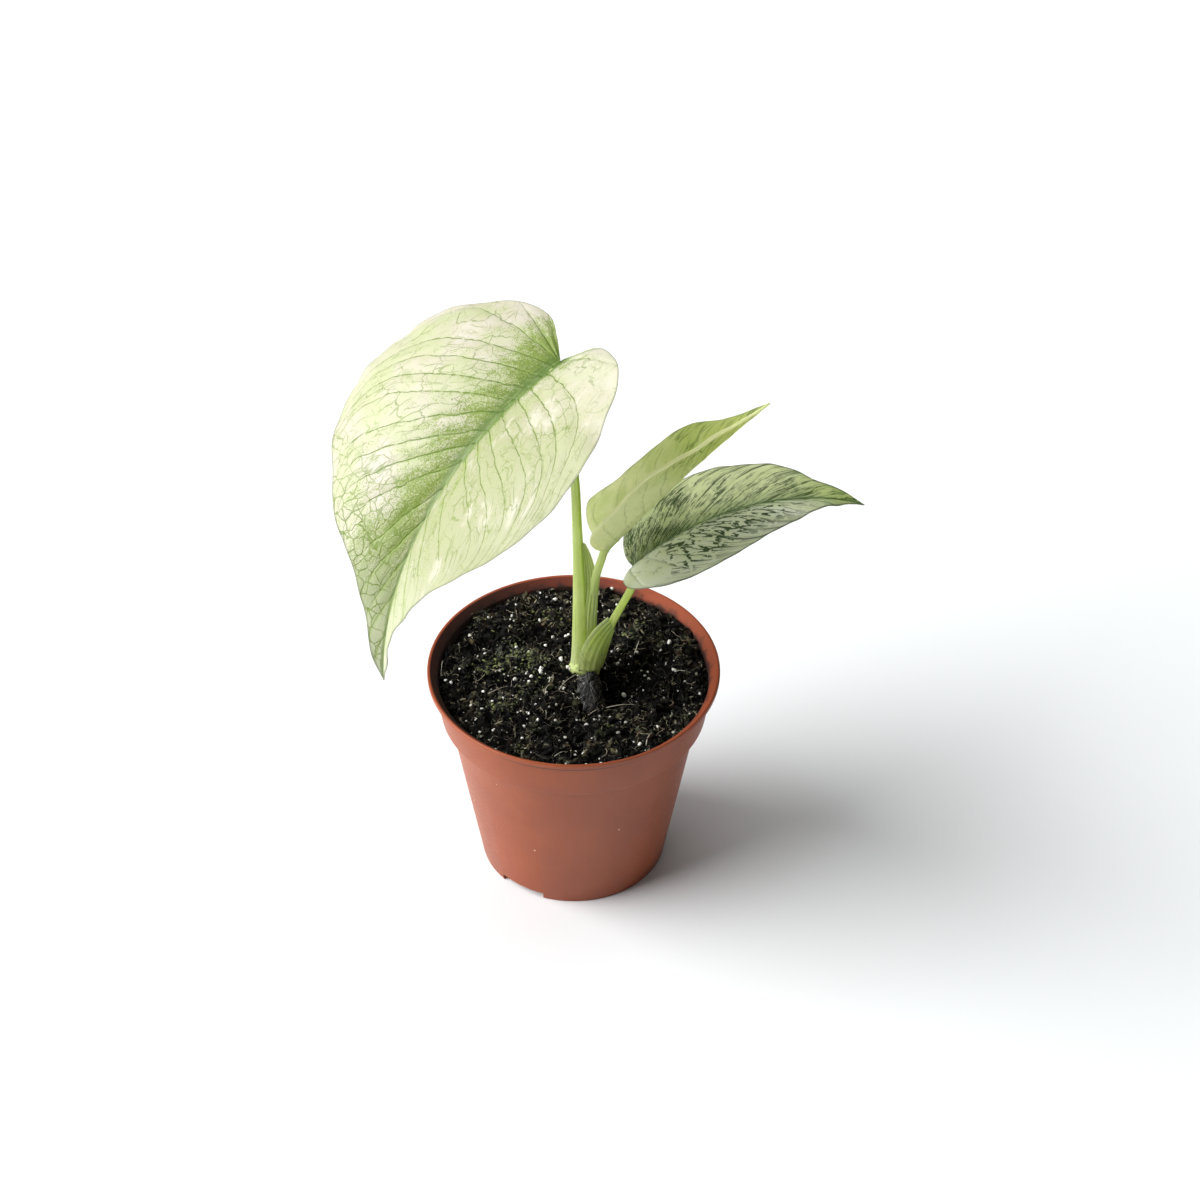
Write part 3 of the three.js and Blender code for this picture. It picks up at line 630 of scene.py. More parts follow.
def stem_material(name, pale, green, stripe):
    """A smooth stalk: fine stripes along it, a darker channel, a paler foot and a pale thin sheath edge."""
    s = Shader(name)
    around, along, channel = s.split(s.attribute("stem", "Vector"))
    thin = s.attribute("thin")
    place = s.place()
    streaks = s.noise(s.joined(around * 22, along * 0.05), 1.0, 4, 0.6)
    cloud = s.noise(place, 0.14, 2)
    fine = s.noise(place, 4.0, 2)
    s.prime(along.ramp(66, 84), pale, green)
    s.paint(cloud.ramp(0.4, 0.7, 0, 0.35), pale)
    s.paint(streaks.ramp(0.48, 0.72, 0, 0.45), stripe)
    s.paint(channel.ramp(0.1, 0.9, 0, 0.75) * along.ramp(76, 96, 0.2, 1), stripe)
    s.paint(thin.ramp(0.84, 1.0, 0, 0.75), (242, 248, 204))
    mottle = s.speckle(s.scaled(place, (1, 1, 0.35)), 1.1, along.ramp(92, 68, 0.05, 0.5))
    s.paint(mottle * 0.3, stripe)
    scuffs = s.dashes(s.scaled(place, (1, 1, 0.5)), 0.55, along.ramp(76, 68, 0, 0.35), 0.2)
    s.paint(scuffs * 0.6, (122, 104, 58))
    relief = streaks * 0.7 + fine * 0.15
    return s.finish(cloud.ramp(0.3, 0.7, 0.34, 0.46), relief, 0.00015, 0.6, glow=0.5)


def vein_fields(s):
    """The leaf's own coordinates, and how far a point lies from its veins, in millimetres."""
    x, y, under = s.split(s.attribute("leaf", "Vector"))
    number, spacing, margin = s.split(s.attribute("vein", "Vector"))
    flat = s.joined(x, y)
    sway = s.noise(flat, 0.11, 2) - 0.5
    crook = s.noise(flat, 0.4, 2) - 0.5
    phase = number + (sway * 0.34 + crook * 0.1)
    return SimpleNamespace(
        x=x, y=y, under=under, rib=abs(y), margin=margin, flat=flat, phase=phase,
        lateral=s.math("PINGPONG", phase, 0.5) * spacing, grain=s.joined(phase * 9.5, y))


def large_leaf_material():
    """Cream and mint, with thin olive veins, a net, and green speckles thickest along the midrib."""
    s = Shader("leaf_cream_mint")
    f = vein_fields(s)
    far_half = f.y.ramp(2, -5)
    tip = f.x.ramp(55, 104)
    lower = f.x.ramp(42, 74) * far_half
    notch = f.x.ramp(16, -2) * f.rib.ramp(26, 3)
    cloud = s.noise(f.grain, 0.16, 3, 0.6)
    patch = s.noise(f.flat, 0.06, 3, 0.55)
    reach = f.rib.ramp(22, 0.5) * (far_half * 0.42 + 0.2)
    density = reach + lower * f.rib.ramp(46, 6, 0.12, 0.2)
    density += tip * 0.1 + notch * 0.3
    density += cloud.ramp(0.36, 0.7, -0.14, 0.22)
    s.prime(patch.ramp(0.38, 0.62), (210, 204, 186), (199, 203, 164))
    near_half = 1 - far_half
    # Painted shade: the near half darker further along the leaf.
    s.paint(near_half * f.x.ramp(2, 30, 0.1, 0.8), (171, 175, 134))
    lobe = near_half * f.x.ramp(14, -2)
    s.paint(lobe * 0.6, (216, 214, 196))
    blush = patch.ramp(0.48, 0.36) * cloud.ramp(0.58, 0.42)
    s.paint(blush * 0.7, (218, 214, 200))
    s.paint(density.ramp(0.1, 0.95, 0, 0.6), (184, 198, 132))
    s.paint(s.speckle(f.flat, 0.55, density - 0.05) * 0.35, (170, 186, 106))
    s.paint(s.speckle(s.warped(f.flat, 1.5, 0.3), 1.15, density) * 0.64, (142, 163, 62))
    s.paint(s.speckle(f.flat, 2.4, density + 0.03) * 0.72, (112, 136, 36))
    s.paint(tip * 0.66, (222, 224, 198))
    ladder = s.warped(s.joined(f.phase * 1.6, f.y * 0.19), 1.4, 0.3)
    shown = s.noise(f.flat, 0.14, 2).ramp(0.42, 0.58, 0.04, 0.62)
    net = s.net(ladder, 1.0, 0.01, 0.036) * f.margin.ramp(2, 9) * shown
    mesh = s.net(s.warped(f.flat, 0.4, 0.8), 0.26, 0.012, 0.05)
    mesh_shown = s.noise(f.flat, 0.2, 2).ramp(0.46, 0.62, 0, 0.3) + lower * 0.75
    net = s.most(net, mesh * mesh_shown)
    s.paint(net, (120, 142, 54))
    halo = f.lateral.ramp(1.1, 0.2) * f.rib.ramp(26, 3, 0.05, 0.45)
    s.paint(halo * cloud.ramp(0.35, 0.6), (160, 180, 96))
    width = f.margin.ramp(0, 16, 0.14, 0.21) * f.rib.ramp(0, 30, 1.2, 0.95)
    core = 1 - f.lateral / width
    broken = s.noise(f.flat, 0.5, 3).ramp(0.34, 0.54, 0.3, 0.95)
    veins = core.ramp(0, 0.6) * broken * f.margin.ramp(1, 10, 0.45, 1)
    between = s.math("PINGPONG", f.phase + 0.5, 0.5) * 8.0
    branches = between.ramp(0.22, 0.06) * s.noise(f.flat, 0.09, 2).ramp(0.5, 0.56, 0, 0.4)
    veins = s.most(veins, branches * f.rib.ramp(6, 14))
    s.paint(veins, s.mix(f.rib.ramp(2, 26), (108, 138, 44), (124, 146, 66)))
    streak = s.noise(s.joined(f.rib * 1.6, f.x * 0.09), 1.0, 3)
    ragged = s.noise(s.scaled(f.grain, (1.2, 0.3, 1)), 1.0, 4, 0.6)
    rib_width = f.x.ramp(0, 84, 4.8, 1.0) * ragged.ramp(0.3, 0.7, 0.6, 1.5)
    rib_share = 1 - f.rib / rib_width
    rib_green = s.mix(f.x.ramp(12, 62), (96, 128, 46), (130, 150, 94))
    rib_green = s.mix(streak.ramp(0.48, 0.66, 0, 0.6), rib_green, (158, 176, 100))
    s.paint(rib_share.ramp(0, 0.6, 0, 0.86), rib_green)
    s.paint(f.margin.ramp(0.6, 0.15, 0, 0.65), (134, 138, 114))
    s.paint(s.dashes(f.flat, 0.15, 0.35, 0.05) * 0.7, (110, 110, 66))
    s.paint(f.under * 0.45, (204, 214, 166))
    relief = veins * -0.8 + net * -0.4 + s.noise(f.flat, 1.6, 3) * 0.25
    return s.finish(cloud.ramp(0.3, 0.7, 0.42, 0.54), relief, *LEAF_BUMP, glow=0.3)


def young_leaf_material():
    """Yellow-green, paler on the near half towards the base, with a painted highlight along the near margin
    and faint darker veins towards the tip.
    """
    s = Shader("leaf_young_green")
    f = vein_fields(s)
    near_half = f.y.ramp(0.5, -0.5)
    cloud = s.noise(f.grain, 0.14, 3, 0.6)
    patch = s.noise(f.flat, 0.08, 2)
    fine = s.noise(f.flat, 1.4, 3)
    tip = f.x.ramp(20, 54)
    s.prime(tip, (242, 243, 198), (202, 208, 132))
    s.paint(patch.ramp(0.38, 0.62, 0, 0.65), (198, 213, 128))
    s.paint(cloud.ramp(0.5, 0.68, 0, 0.6), (243, 246, 208))
    s.paint(fine.ramp(0.52, 0.72, 0, 0.3), (180, 196, 108))
    s.paint(near_half * f.x.ramp(50, 14, 0, 0.88), (252, 253, 226))
    specks = s.speckle(s.scaled(f.grain, (1, 0.6, 1)), 0.9, tip.ramp(0, 1, 0.05, 0.42))
    s.paint(specks * 0.35, (158, 178, 78))
    net = s.net(s.warped(f.grain, 0.2, 1.4), 0.24, 0.02, 0.07)
    shown = s.noise(f.flat, 0.13, 2).ramp(0.44, 0.58)
    s.paint(net * shown * tip.ramp(0, 1, 0.12, 0.95), (98, 124, 42))
    veins = f.lateral.ramp(0.5, 0.1) * s.noise(f.flat, 0.3, 2).ramp(0.35, 0.6)
    s.paint(veins * tip.ramp(0, 1, 0.32, 0.6), (140, 158, 80))
    # A painted highlight along the near half's margin.
    s.paint(f.margin.ramp(2.4, 0.5) * near_half * 0.9, (255, 254, 222))
    s.paint(f.margin.ramp(0.5, 0.1) * (1 - near_half) * 0.5, (150, 150, 120))
    s.paint(f.rib.ramp(1.4, 0.3, 0, 0.26), (240, 244, 180))
    relief = veins * 0.6 + fine * 0.3
    through = s.mix(0.4, s.colour, (236, 244, 178))
    return s.finish(cloud.ramp(0.3, 0.7, 0.4, 0.52), relief, *LEAF_BUMP, glow=0.6, through=through)


def speckled_leaf_material():
    """Grey mint with dark flecks: streaks along the side veins beyond the midrib, a broken net before it."""
    s = Shader("leaf_speckled_mint")
    f = vein_fields(s)
    far_half = f.y.ramp(-1, 1.5)
    cloud = s.noise(f.grain, 0.13, 3, 0.6)
    patch = s.noise(f.flat, 0.1, 3)
    fine = s.noise(f.flat, 1.8, 3)
    near_rib = f.rib.ramp(7, 0.4)
    tip = f.x.ramp(50, 72)
    lobe = f.x.ramp(20, 4) * f.y.ramp(0, -5)
    # Painted shadow of the young leaf over the far half's base, where the marks are also denser.
    shaded = far_half * f.x.ramp(30, 12)
    density = patch.ramp(0.34, 0.66, 0.16, 0.5) + far_half * -0.12
    density = density - lobe * 0.45 + near_rib * 0.1 + shaded * 0.24
    s.prime(cloud.ramp(0.35, 0.7), (245, 248, 224), (254, 255, 246))
    s.paint(far_half * 0.6, (214, 222, 158))
    s.paint(shaded * 0.45, (164, 178, 116))
    s.paint(near_rib * 0.5, (166, 188, 130))
    s.paint(tip * 0.6, (228, 240, 156))
    run = s.warped(s.scaled(f.grain, (1.4, 0.34, 1)), 0.8, 0.35)
    lines = s.ridges(run, 0.44, 0.036)
    gaps = (s.noise(s.scaled(f.grain, (1, 0.6, 1)), 0.6, 3) + density * 0.3).ramp(0.58, 0.63)
    streaks = lines * gaps * far_half.ramp(0, 1, 0.15, 1)
    patches = s.speckle(run, 0.9, density + tip * 0.22) * s.most(far_half, tip * 0.4)
    spots = s.speckle(s.scaled(f.grain, (1.3, 0.9, 1)), 1.3, density - 0.24)
    broken_net = s.net(s.warped(s.scaled(f.grain, (0.56, 0.42, 1)), 0.9, 0.7), 0.56, 0.06, 0.1)
    seen = (s.noise(f.flat, 0.4, 3) + density * 0.3).ramp(0.51, 0.55)
    knots = broken_net * seen * far_half.ramp(0, 1, 1, 0.2) * f.margin.ramp(0.8, 4.5, 0.25, 1)
    drawn = f.lateral.ramp(0.4, 0.22) * s.noise(f.grain, 0.3, 2).ramp(0.5, 0.56)
    marks = s.most(s.most(streaks, patches), s.most(knots, drawn * 0.8))
    marks = s.most(marks, spots * 0.9) * (1 - lobe).ramp(0.2, 0.7, 0.25, 1)
    green = s.mix(fine.ramp(0.35, 0.7), (22, 50, 6), (58, 92, 26))
    green = s.mix(1 - far_half, green, (44, 76, 24))
    s.paint(marks * 0.97, s.mix(tip, green, (52, 104, 20)))
    s.paint(f.rib.ramp(0.8, 0.2, 0, 0.8), (86, 116, 62))
    s.paint(f.margin.ramp(0.45, 0.1, 0, 0.7), (84, 88, 74))
    s.paint(f.under * 0.5, (190, 206, 150))
    relief = f.lateral.ramp(0.6, 0.1) * -0.7 + fine * 0.3
    through = s.mix(0.14, s.colour, (240, 245, 218))
    return s.finish(cloud.ramp(0.3, 0.7, 0.34, 0.48), relief, *LEAF_BUMP, glow=0.56, through=through)


def crown_material():
    """The pale swollen stem base, ringed and scarred, with soil on its foot."""
    s = Shader("crown_skin")
    place = s.place()
    z = s.split(place)[2]
    rings = s.noise(s.scaled(place, (0.3, 0.3, 2.4)), 0.9, 3)
    cloud = s.noise(place, 0.45, 3)
    fine = s.noise(place, 3.5, 3)
    s.prime(cloud.ramp(0.4, 0.65), (190, 204, 130), (166, 186, 98))
    s.paint(rings.ramp(0.55, 0.7, 0, 0.5), (140, 142, 76))
    s.paint(s.noise(place, 0.8, 2).ramp(0.57, 0.66), (70, 48, 30))
    s.paint((z + fine * 1.6).ramp(69.6, 68.4), (48, 38, 28))
    return s.finish(fine.ramp(0.3, 0.7, 0.42, 0.6), rings + fine * 0.3, 0.0004, 0.7)


def floor_material():
    s = Shader("studio_floor")
    s.prime(s.noise(s.place(), 0.004, 2), (0.8, 0.82, 0.83, 1), (0.82, 0.84, 0.85, 1))
    return s.finish(0.8, specular=0.1)


# Pot

def rounded(profile, radius, steps=4):
    """The profile with each inner corner turned into a short curve of about that radius."""
    points = [np.array(point, float) for point in profile]
    out = [points[0]]
    for before, corner, after in zip(points, points[1:], points[2:]):
        to_before, to_after = before - corner, after - corner
        reach = min(radius, 0.45 * np.linalg.norm(to_before), 0.45 * np.linalg.norm(to_after))
        start = corner + to_before / np.linalg.norm(to_before) * reach
        end = corner + to_after / np.linalg.norm(to_after) * reach
        for step in range(steps + 1):
            t = step / steps
            out.append((1 - t) ** 2 * start + 2 * t * (1 - t) * corner + t ** 2 * end)
    out.append(points[-1])
    return out


def inner_radius(height):
    """The pot's inside radius at a height."""
    if height >= COLLAR_FOOT:
        flare = (COLLAR_TOP_RADIUS - COLLAR_FOOT_RADIUS) * (height - COLLAR_FOOT) / COLLAR_HEIGHT
        return COLLAR_FOOT_RADIUS + flare - WALL
    return FOOT_RADIUS + (BODY_TOP_RADIUS - FOOT_RADIUS) * height / BODY_TOP - WALL


def pot_profile():
    lip_foot = POT_HEIGHT - LIP_HEIGHT
    ring_inner = FOOT_RADIUS - FOOT_RING_WIDTH
    levels = (POT_HEIGHT - LIP_FLARE, COLLAR_FOOT, BODY_TOP, FLOOR_TOP)
    inside = [(inner_radius(height), height) for height in levels]
    return [
        (0, 0), (PAD_RADIUS, 0), (PAD_RADIUS, FLOOR_RAISE), (ring_inner, FLOOR_RAISE), (ring_inner, 0),
        (FOOT_RADIUS, 0), (BODY_TOP_RADIUS, BODY_TOP), (COLLAR_FOOT_RADIUS, COLLAR_FOOT),
        (COLLAR_TOP_RADIUS, lip_foot - LIP_GROOVE), (COLLAR_TOP_RADIUS - LIP_GROOVE, lip_foot),
        (RIM_RADIUS, lip_foot), (RIM_RADIUS, POT_HEIGHT), (RIM_RADIUS - LIP_WIDTH, POT_HEIGHT),
        *inside, (0, FLOOR_TOP),
    ]


def notch_block(degrees):
    """A block that opens the foot ring over the notch's span."""
    angles = np.linspace(degrees - NOTCH_SPAN_DEG / 2, degrees + NOTCH_SPAN_DEG / 2, 17) * RAD
    inner = FOOT_RADIUS - FOOT_RING_WIDTH - MM
    outer = FOOT_RADIUS + NOTCH_HEIGHT
    corners = ((inner, -MM), (outer, -MM), (outer, NOTCH_HEIGHT), (inner, NOTCH_HEIGHT))
    rows = [(radius * np.cos(angles), radius * np.sin(angles), 0 * angles + z) for radius, z in corners]
    grid = np.transpose(rows, (2, 0, 1))
    faces = grid_faces(len(angles), 4, closed=True)
    last = (len(angles) - 1) * 4
    faces.append((3, 2, 1, 0))
    faces.append((last, last + 1, last + 2, last + 3))
    return grid.reshape(-1, 3), faces


def drain_block(degrees):
    centre = DRAIN_CIRCLE_RADIUS * np.array([math.cos(degrees * RAD), math.sin(degrees * RAD), 0])
    top = FLOOR_TOP + MM
    return tube([centre - MM * UP, centre + top / 2 * UP, centre + top * UP], [DRAIN_RADIUS] * 3, 32)


def make_pot():
    shape = turned(rounded(pot_profile(), CORNER_RADIUS), POT_SECTORS)
    pot = piece("nursery_pot", shape, pot_material(), ("pot",))
    blocks = [notch_block(degrees) for degrees in NOTCH_DEGREES]
    blocks += [drain_block(NOTCH_DEGREES[0] + (i + 0.5) * 360 / DRAIN_COUNT) for i in range(DRAIN_COUNT)]
    for block in blocks:
        tool = linked("cutter", mesh_of("cutter", block))
        cut = pot.modifiers.new("cut", "BOOLEAN")
        cut.operation = "DIFFERENCE"
        cut.solver = "EXACT"
        cut.object = tool
        evaluated = pot.evaluated_get(bpy.context.evaluated_depsgraph_get())
        mesh = bpy.data.meshes.new_from_object(evaluated)
        pot.modifiers.clear()
        pot.data = mesh
        bpy.data.objects.remove(tool)
    smooth(pot.data, 38)


# Soil

def soil_height(x, y):
    """The height of the soil's surface, crumbs included."""
    x, y = np.atleast_1d(x).astype(float), np.atleast_1d(y).astype(float)
    z = SOIL_LEVEL - 0.4 * MM + SOIL_SLOPE * y
    z = z + 0.8 * MM * np.sin(x / MM * 0.12 + 1) * np.cos(y / MM * 0.12)
    radius = np.hypot(x, y)
    back = smoothstep(-0.01, 0.03, y - 0.3 * x)
    z = z + BERM_HEIGHT * smoothstep(0.034, 0.042, radius) * back
    for cx, cy, depth, reach in HOLLOWS:
        away = np.hypot(x / MM - cx, y / MM - cy) / reach
        z = z - depth * MM * np.exp(-away ** 2)
    crumbs = []
    for px, py in zip(x / MM, y / MM):
        broad = noise.fractal(Vector((px * 0.15, py * 0.15, 3.1)), 0.9, 2.1, 3)
        coarse = noise.voronoi(Vector((px * 0.36, py * 0.36, 5.2)))[0][0]
        small = noise.voronoi(Vector((px * 0.85, py * 0.85, 1.7)))[0][0]
        grit = noise.noise(Vector((px * 1.9, py * 1.9, 0.4)))
        crumbs.append(1.5 * broad + 2.3 * (0.42 - coarse) + 1.1 * (0.42 - small) + 0.25 * grit)
    return z + np.array(crumbs) * MM


def make_soil():
    """The block of peat that fills the pot, with a crumbly surface."""
    bottom = FLOOR_TOP + 0.3 * MM
    side_heights = [bottom, 0.025, BODY_TOP, COLLAR_FOOT + 0.3 * MM, 0.0625]
    rim = inner_radius(SOIL_LEVEL) - 0.1 * MM
    sides = [(0.0, bottom)] + [(inner_radius(height) - 0.3 * MM, height) for height in side_heights]
    top = [(rim * ring / SOIL_RINGS, SOIL_LEVEL) for ring in range(SOIL_RINGS, -1, -1)]
    points, faces = turned(sides + top, SOIL_SECTORS)
    surface = points[len(sides) * SOIL_SECTORS:]
    surface[:, 2] = soil_height(surface[:, 0], surface[:, 1])
    # The tone is darker the lower a point lies: painted shade in the hollows.
    level = SOIL_LEVEL + SOIL_SLOPE * points[:, 1]
    tones = np.clip(0.3 + (points[:, 2] - level) / (5 * MM), 0, 1) * 0.5
    material = earth_material("peat", (7, 6, 5), (34, 29, 21), (20, 24, 12), 0.8, 0.1)
    piece("soil_bed", (points, faces), material, ("soil",), layers={"tone": tones})


def scatter(count, spread=1.0):
    """Places on the soil's surface, even over its disc."""
    rim = inner_radius(SOIL_LEVEL) - 0.8 * MM
    angles = rng.uniform(0, TURN, count)
    radii = rim * spread * np.sqrt(rng.uniform(0, 1, count))
    x, y = radii * np.cos(angles), radii * np.sin(angles)
    return np.stack([x, y, soil_height(x, y)], axis=1)


def on_soil(pixel_x, pixel_y):
    """Where the line of sight through a photograph's pixel meets the soil."""
    down = CAMERA_DOWN_DEG * RAD
    forward = np.array([0, math.cos(down), -math.sin(down)])
    upward = np.array([0, math.sin(down), math.cos(down)])
    sight = FOCAL_PX * forward - (pixel_y - AXIS_PX[1]) * upward + np.array([pixel_x - AXIS_PX[0], 0, 0])
    height = SOIL_LEVEL
    for _ in range(4):
        point = np.array(CAMERA_PLACE) + sight * (height - CAMERA_PLACE[2]) / sight[2]
        height = float(soil_height(point[0], point[1])[0])
    return point


def make_crumbs():
    """Loose crumbs, and many small shards of half rotted bark and stems, over the bed."""
    crumb = earth_material("crumbs", (6, 6, 5), (126, 119, 92), (58, 72, 38), 0.6, 0.16)
    shard = earth_material("shards", (6, 6, 5), (218, 212, 184), (84, 102, 60), 0.35, 0.3)
    kinds = (  # name, material, count, sizes in millimetres, shape, level of detail
        ("peat_crumbs", crumb, CRUMB_COUNT, 0.35, 1.5, (1.2, 0.75, 0.5), 2),
        ("peat_shards", shard, SHARD_COUNT, 0.2, 1.1, (1.6, 0.42, 0.24), 1),
    )
    for name, material, count, smallest, largest, shape, level in kinds:
        heap = Heap()
        places = scatter(count)
        sizes = lerp(smallest, largest, rng.uniform(0, 1, count) ** 2)
        for place, size in zip(places, sizes):
            radii = size * MM * np.array(shape) * rng.uniform(0.7, 1.2, 3)
            centre = place + rng.uniform(0, 0.4) * size * MM * UP
            heap.add(lump(centre, radii, 0.3, level), tone=rng.uniform(0, 1) ** 4)
        heap.make(name, material, sharp_deg=28)


def wandering(start, length, heading, bend, lift, steps=7):
    """A path within the pot's wall that wanders off from its start and sags back."""
    path = [np.array(start, float)]
    angle = heading
    for step in range(steps):
        angle += rng.normal(0, bend)
        rise = lift * math.cos(math.pi * (step + 0.5) / steps)
        move = np.array([math.cos(angle), math.sin(angle), rise]) * length / steps
        path.append(path[-1] + move)
    for point in path:
        limit = inner_radius(max(point[2], 0.06)) - 0.4 * MM
        radius = math.hypot(point[0], point[1])
        if radius > limit:
            point[:2] *= limit / radius
    return np.array(path)


def make_fibres():
    """Brown peat fibres that lie over the crumbs."""
    heap = Heap()
    for place in scatter(FIBRE_COUNT, 0.99):
        length = rng.uniform(0.8, 4.5) * MM
        start = place + rng.uniform(0.1, 0.5) * MM * UP
        path = wandering(start, length, rng.uniform(0, TURN), 0.5, rng.uniform(-0.1, 0.35))
        radii = rng.uniform(0.04, 0.12) * MM * np.linspace(1, 0.5, len(path))
        heap.add(tube(path, radii, 5), tone=rng.uniform(0, 1) ** 2.8)
    heap.make("peat_fibres", strand_material("fibre", (22, 19, 15), (190, 178, 150)))


def make_perlite():
    heap = Heap()
    for pixel_x, pixel_y, size in SEEN_GRAINS:
        add_grain(heap, on_soil(pixel_x, pixel_y), size * MM, 3 if size > 0.9 else 2)
    for place in scatter(GRAIN_COUNT, 0.98):
        add_grain(heap, place, lerp(0.14, 0.6, rng.uniform(0, 1) ** 2) * MM, 2)
    heap.make("perlite_grains", grain_material(), 40)


def add_grain(heap, place, size, level):
    radii = size * rng.uniform(0.62, 1.1, 3)
    roughness = 0.2 if level < 3 else 0.09
    heap.add(lump(place + 0.35 * size * UP, radii, roughness, level), tone=rng.uniform(0.25, 1))


def make_moss():
    """Little leaves of moss and liverwort on the left of the stems."""
    heap = Heap()
    for pixel_x, pixel_y, reach, count in MOSS_TUFTS:
        middle = on_soil(pixel_x, pixel_y)
        for _ in range(count):
            offset = rng.normal(0, 0.45 * reach * MM, 2)
            x, y = middle[0] + offset[0], middle[1] + offset[1]
            z = float(soil_height(x, y)[0])
            add_leaflet(heap, np.array([x, y, z]), rng.uniform(0.5, 1.5) * MM)
    heap.make("moss_leaflets", strand_material("moss", (20, 25, 12), (132, 140, 84)))


def add_leaflet(heap, foot, length):
    """One small pointed leaf that rises from its foot and bends over."""
    heading = rng.uniform(0, TURN)
    rise = rng.uniform(0.3, 1.2)
    ahead = np.array([math.cos(heading), math.sin(heading), 0])
    side = np.array([-ahead[1], ahead[0], 0])
    rows = 5
    grid = np.zeros((rows, 3, 3))
    for row in range(rows):
        t = row / (rows - 1)
        centre = foot + ahead * length * t + UP * length * (rise * t - 0.55 * t * t)
        width = 0.26 * length * math.sin(math.pi * (0.12 + 0.88 * t)) + 0.01 * length
        for column in range(3):
            grid[row, column] = centre + side * width * (column - 1) + UP * 0.3 * width * abs(column - 1)
    normals = np.broadcast_to(UP, grid.shape)
    thickness = np.full(grid.shape[:2], 0.05 * MM)
    heap.add(slab(grid, normals, thickness, thickness), tone=rng.uniform(0, 1) ** 2.6)


def make_rootlets():
    heap = Heap()
    for start, end, lift in SEEN_ROOTLETS:
        first, last = on_soil(*start), on_soil(*end)
        shares = np.linspace(0, 1, 12)[:, None]
        bow = rng.normal(0, 0.35, 2) * MM
        path = first + (last - first) * shares
        path += np.sin(math.pi * shares) * np.array([bow[0], bow[1], lift * MM])
        path += 0.12 * MM * UP
        heap.add(tube(path, np.linspace(0.13, 0.06, 12) * MM, 6), tone=rng.uniform(0.55, 1))
    for place in scatter(ROOTLET_COUNT, 0.97):
        path = wandering(place, rng.uniform(1.5, 4.5) * MM, rng.uniform(0, TURN), 0.6, 0.3)
        heap.add(tube(path, np.full(len(path), 0.05 * MM), 5), tone=rng.uniform(0.2, 0.8))
    heap.make("rootlets", strand_material("rootlet", (92, 80, 62), (232, 224, 204)))


def make_chips():
    """Brown chips of bark and coir, most of them on the right."""
    heap = Heap()
    for place in scatter(CHIP_COUNT, 0.97):
        if rng.uniform(0, 1) > (0.85 if place[0] > 0.008 else 0.3):
            continue
        size = rng.uniform(0.5, 1.3) * MM
        radii = (size, 0.55 * size, 0.28 * size)
        heap.add(lump(place + 0.2 * size * UP, radii, 0.2), tone=rng.uniform(0, 1))
    heap.make("bark_chips", earth_material("bark", (44, 27, 18), (110, 70, 44), (66, 58, 34), 0.6))


# Roots and crown

def make_root_plug():
    """The matted plug of fine roots in front of the crown."""
    points, faces = ball(5)
    bumps = np.array([noise.fractal(Vector(p * 4.2), 0.8, 2.2, 4) for p in points])
    radii = ROOTS_RADII * (1.0 + 0.34 * bumps[:, None])
    material = earth_material("root_mat", (20, 20, 21), (84, 84, 88), (44, 44, 44), 0.7)
    tones = np.full(len(points), 0.3)
    shape = (points * radii + ROOTS_CENTRE, faces)
    piece("root_mat", shape, material, ("root_plug",), layers={"tone": tones})
    heap = Heap()
    for _ in range(ROOT_HAIR_COUNT):
        azimuth = rng.uniform(0, TURN)
        height = rng.uniform(0.1, 1.0)
        turn = rng.normal(1.3, 0.5)
        reach = rng.uniform(0.3, 0.9)
        proud = rng.uniform(0.96, 1.14)
        path = []
        for step in range(7):
            t = step / 6 - 0.5
            a = azimuth + t * math.cos(turn) * 1.4 * reach
            h = min(0.995, height + t * math.sin(turn) * 0.8 * reach)
            level = math.sqrt(max(0.0, 1 - h * h))
            spot = np.array([level * math.cos(a), level * math.sin(a), h])
            path.append(spot * ROOTS_RADII * proud + ROOTS_CENTRE)
        heap.add(tube(path, np.full(7, rng.uniform(0.02, 0.055) * MM), 4), tone=rng.uniform(0, 1) ** 2.5)
    heap.make("root_hairs", strand_material("root_hair", (40, 40, 42), (176, 174, 172)))


def make_crown():
    points, faces = ball(5)
    bumps = 0.05 * (np.sin(5 * points[:, 0] + 1) * np.cos(4 * points[:, 2]) + np.sin(7 * points[:, 1]))
    rings = 0.02 * np.sin(points[:, 2] * 22 + 2 * points[:, 0])
    surface = points * (1 + bumps + rings)[:, None] * CROWN_RADII + CROWN_CENTRE
    piece("crown_base", (surface, faces), crown_material(), ("crown",))


# Stalks

def stalk_to(leaf):
    """The stalk's stations in metres, run on under its blade's midrib until it has tapered away."""
    ahead, below, radius = leaf.seat
    taper = np.array([1, 0.72, 0.3])
    place, _, upper = rib_frame(leaf, np.array([ahead, ahead + 4, ahead + 11]) * MM)
    ends = place - upper * (below * taper)[:, None] * MM
    return np.vstack([np.array(leaf.stalk) * MM, np.column_stack([ends, radius * taper * MM])])


def stalk_mesh(stations):
    """A stalk with a shallow channel down its right side, and its stripe coordinates."""
    shares = np.linspace(0, 1, STALK_ROWS)
    path = spline(stations[:, :3], shares)
    radii = np.interp(shares * (len(stations) - 1), np.arange(len(stations)), stations[:, 3])
    angles = np.arange(STALK_SIDES) / STALK_SIDES * TURN
    channel = np.clip(np.cos(angles + 0.5), 0, 1) ** 6
    shape = tube(path, radii, STALK_SIDES, np.array([1.0, 0, 0]), 1 - CHANNEL_DEPTH * channel)
    around, channel = (np.tile(values, STALK_ROWS) for values in (np.sin(angles) * 0.5, channel))
    stem = np.stack([around, shape[0][:, 2] / MM, channel], axis=1)
    return shape, stem, np.zeros(len(stem))


def station_at(stations, z):
    """The stalk's centre at a height in millimetres."""
    table = np.array(stations)
    return np.interp(z, table[:, 2], table[:, 0]), np.interp(z, table[:, 2], table[:, 1])


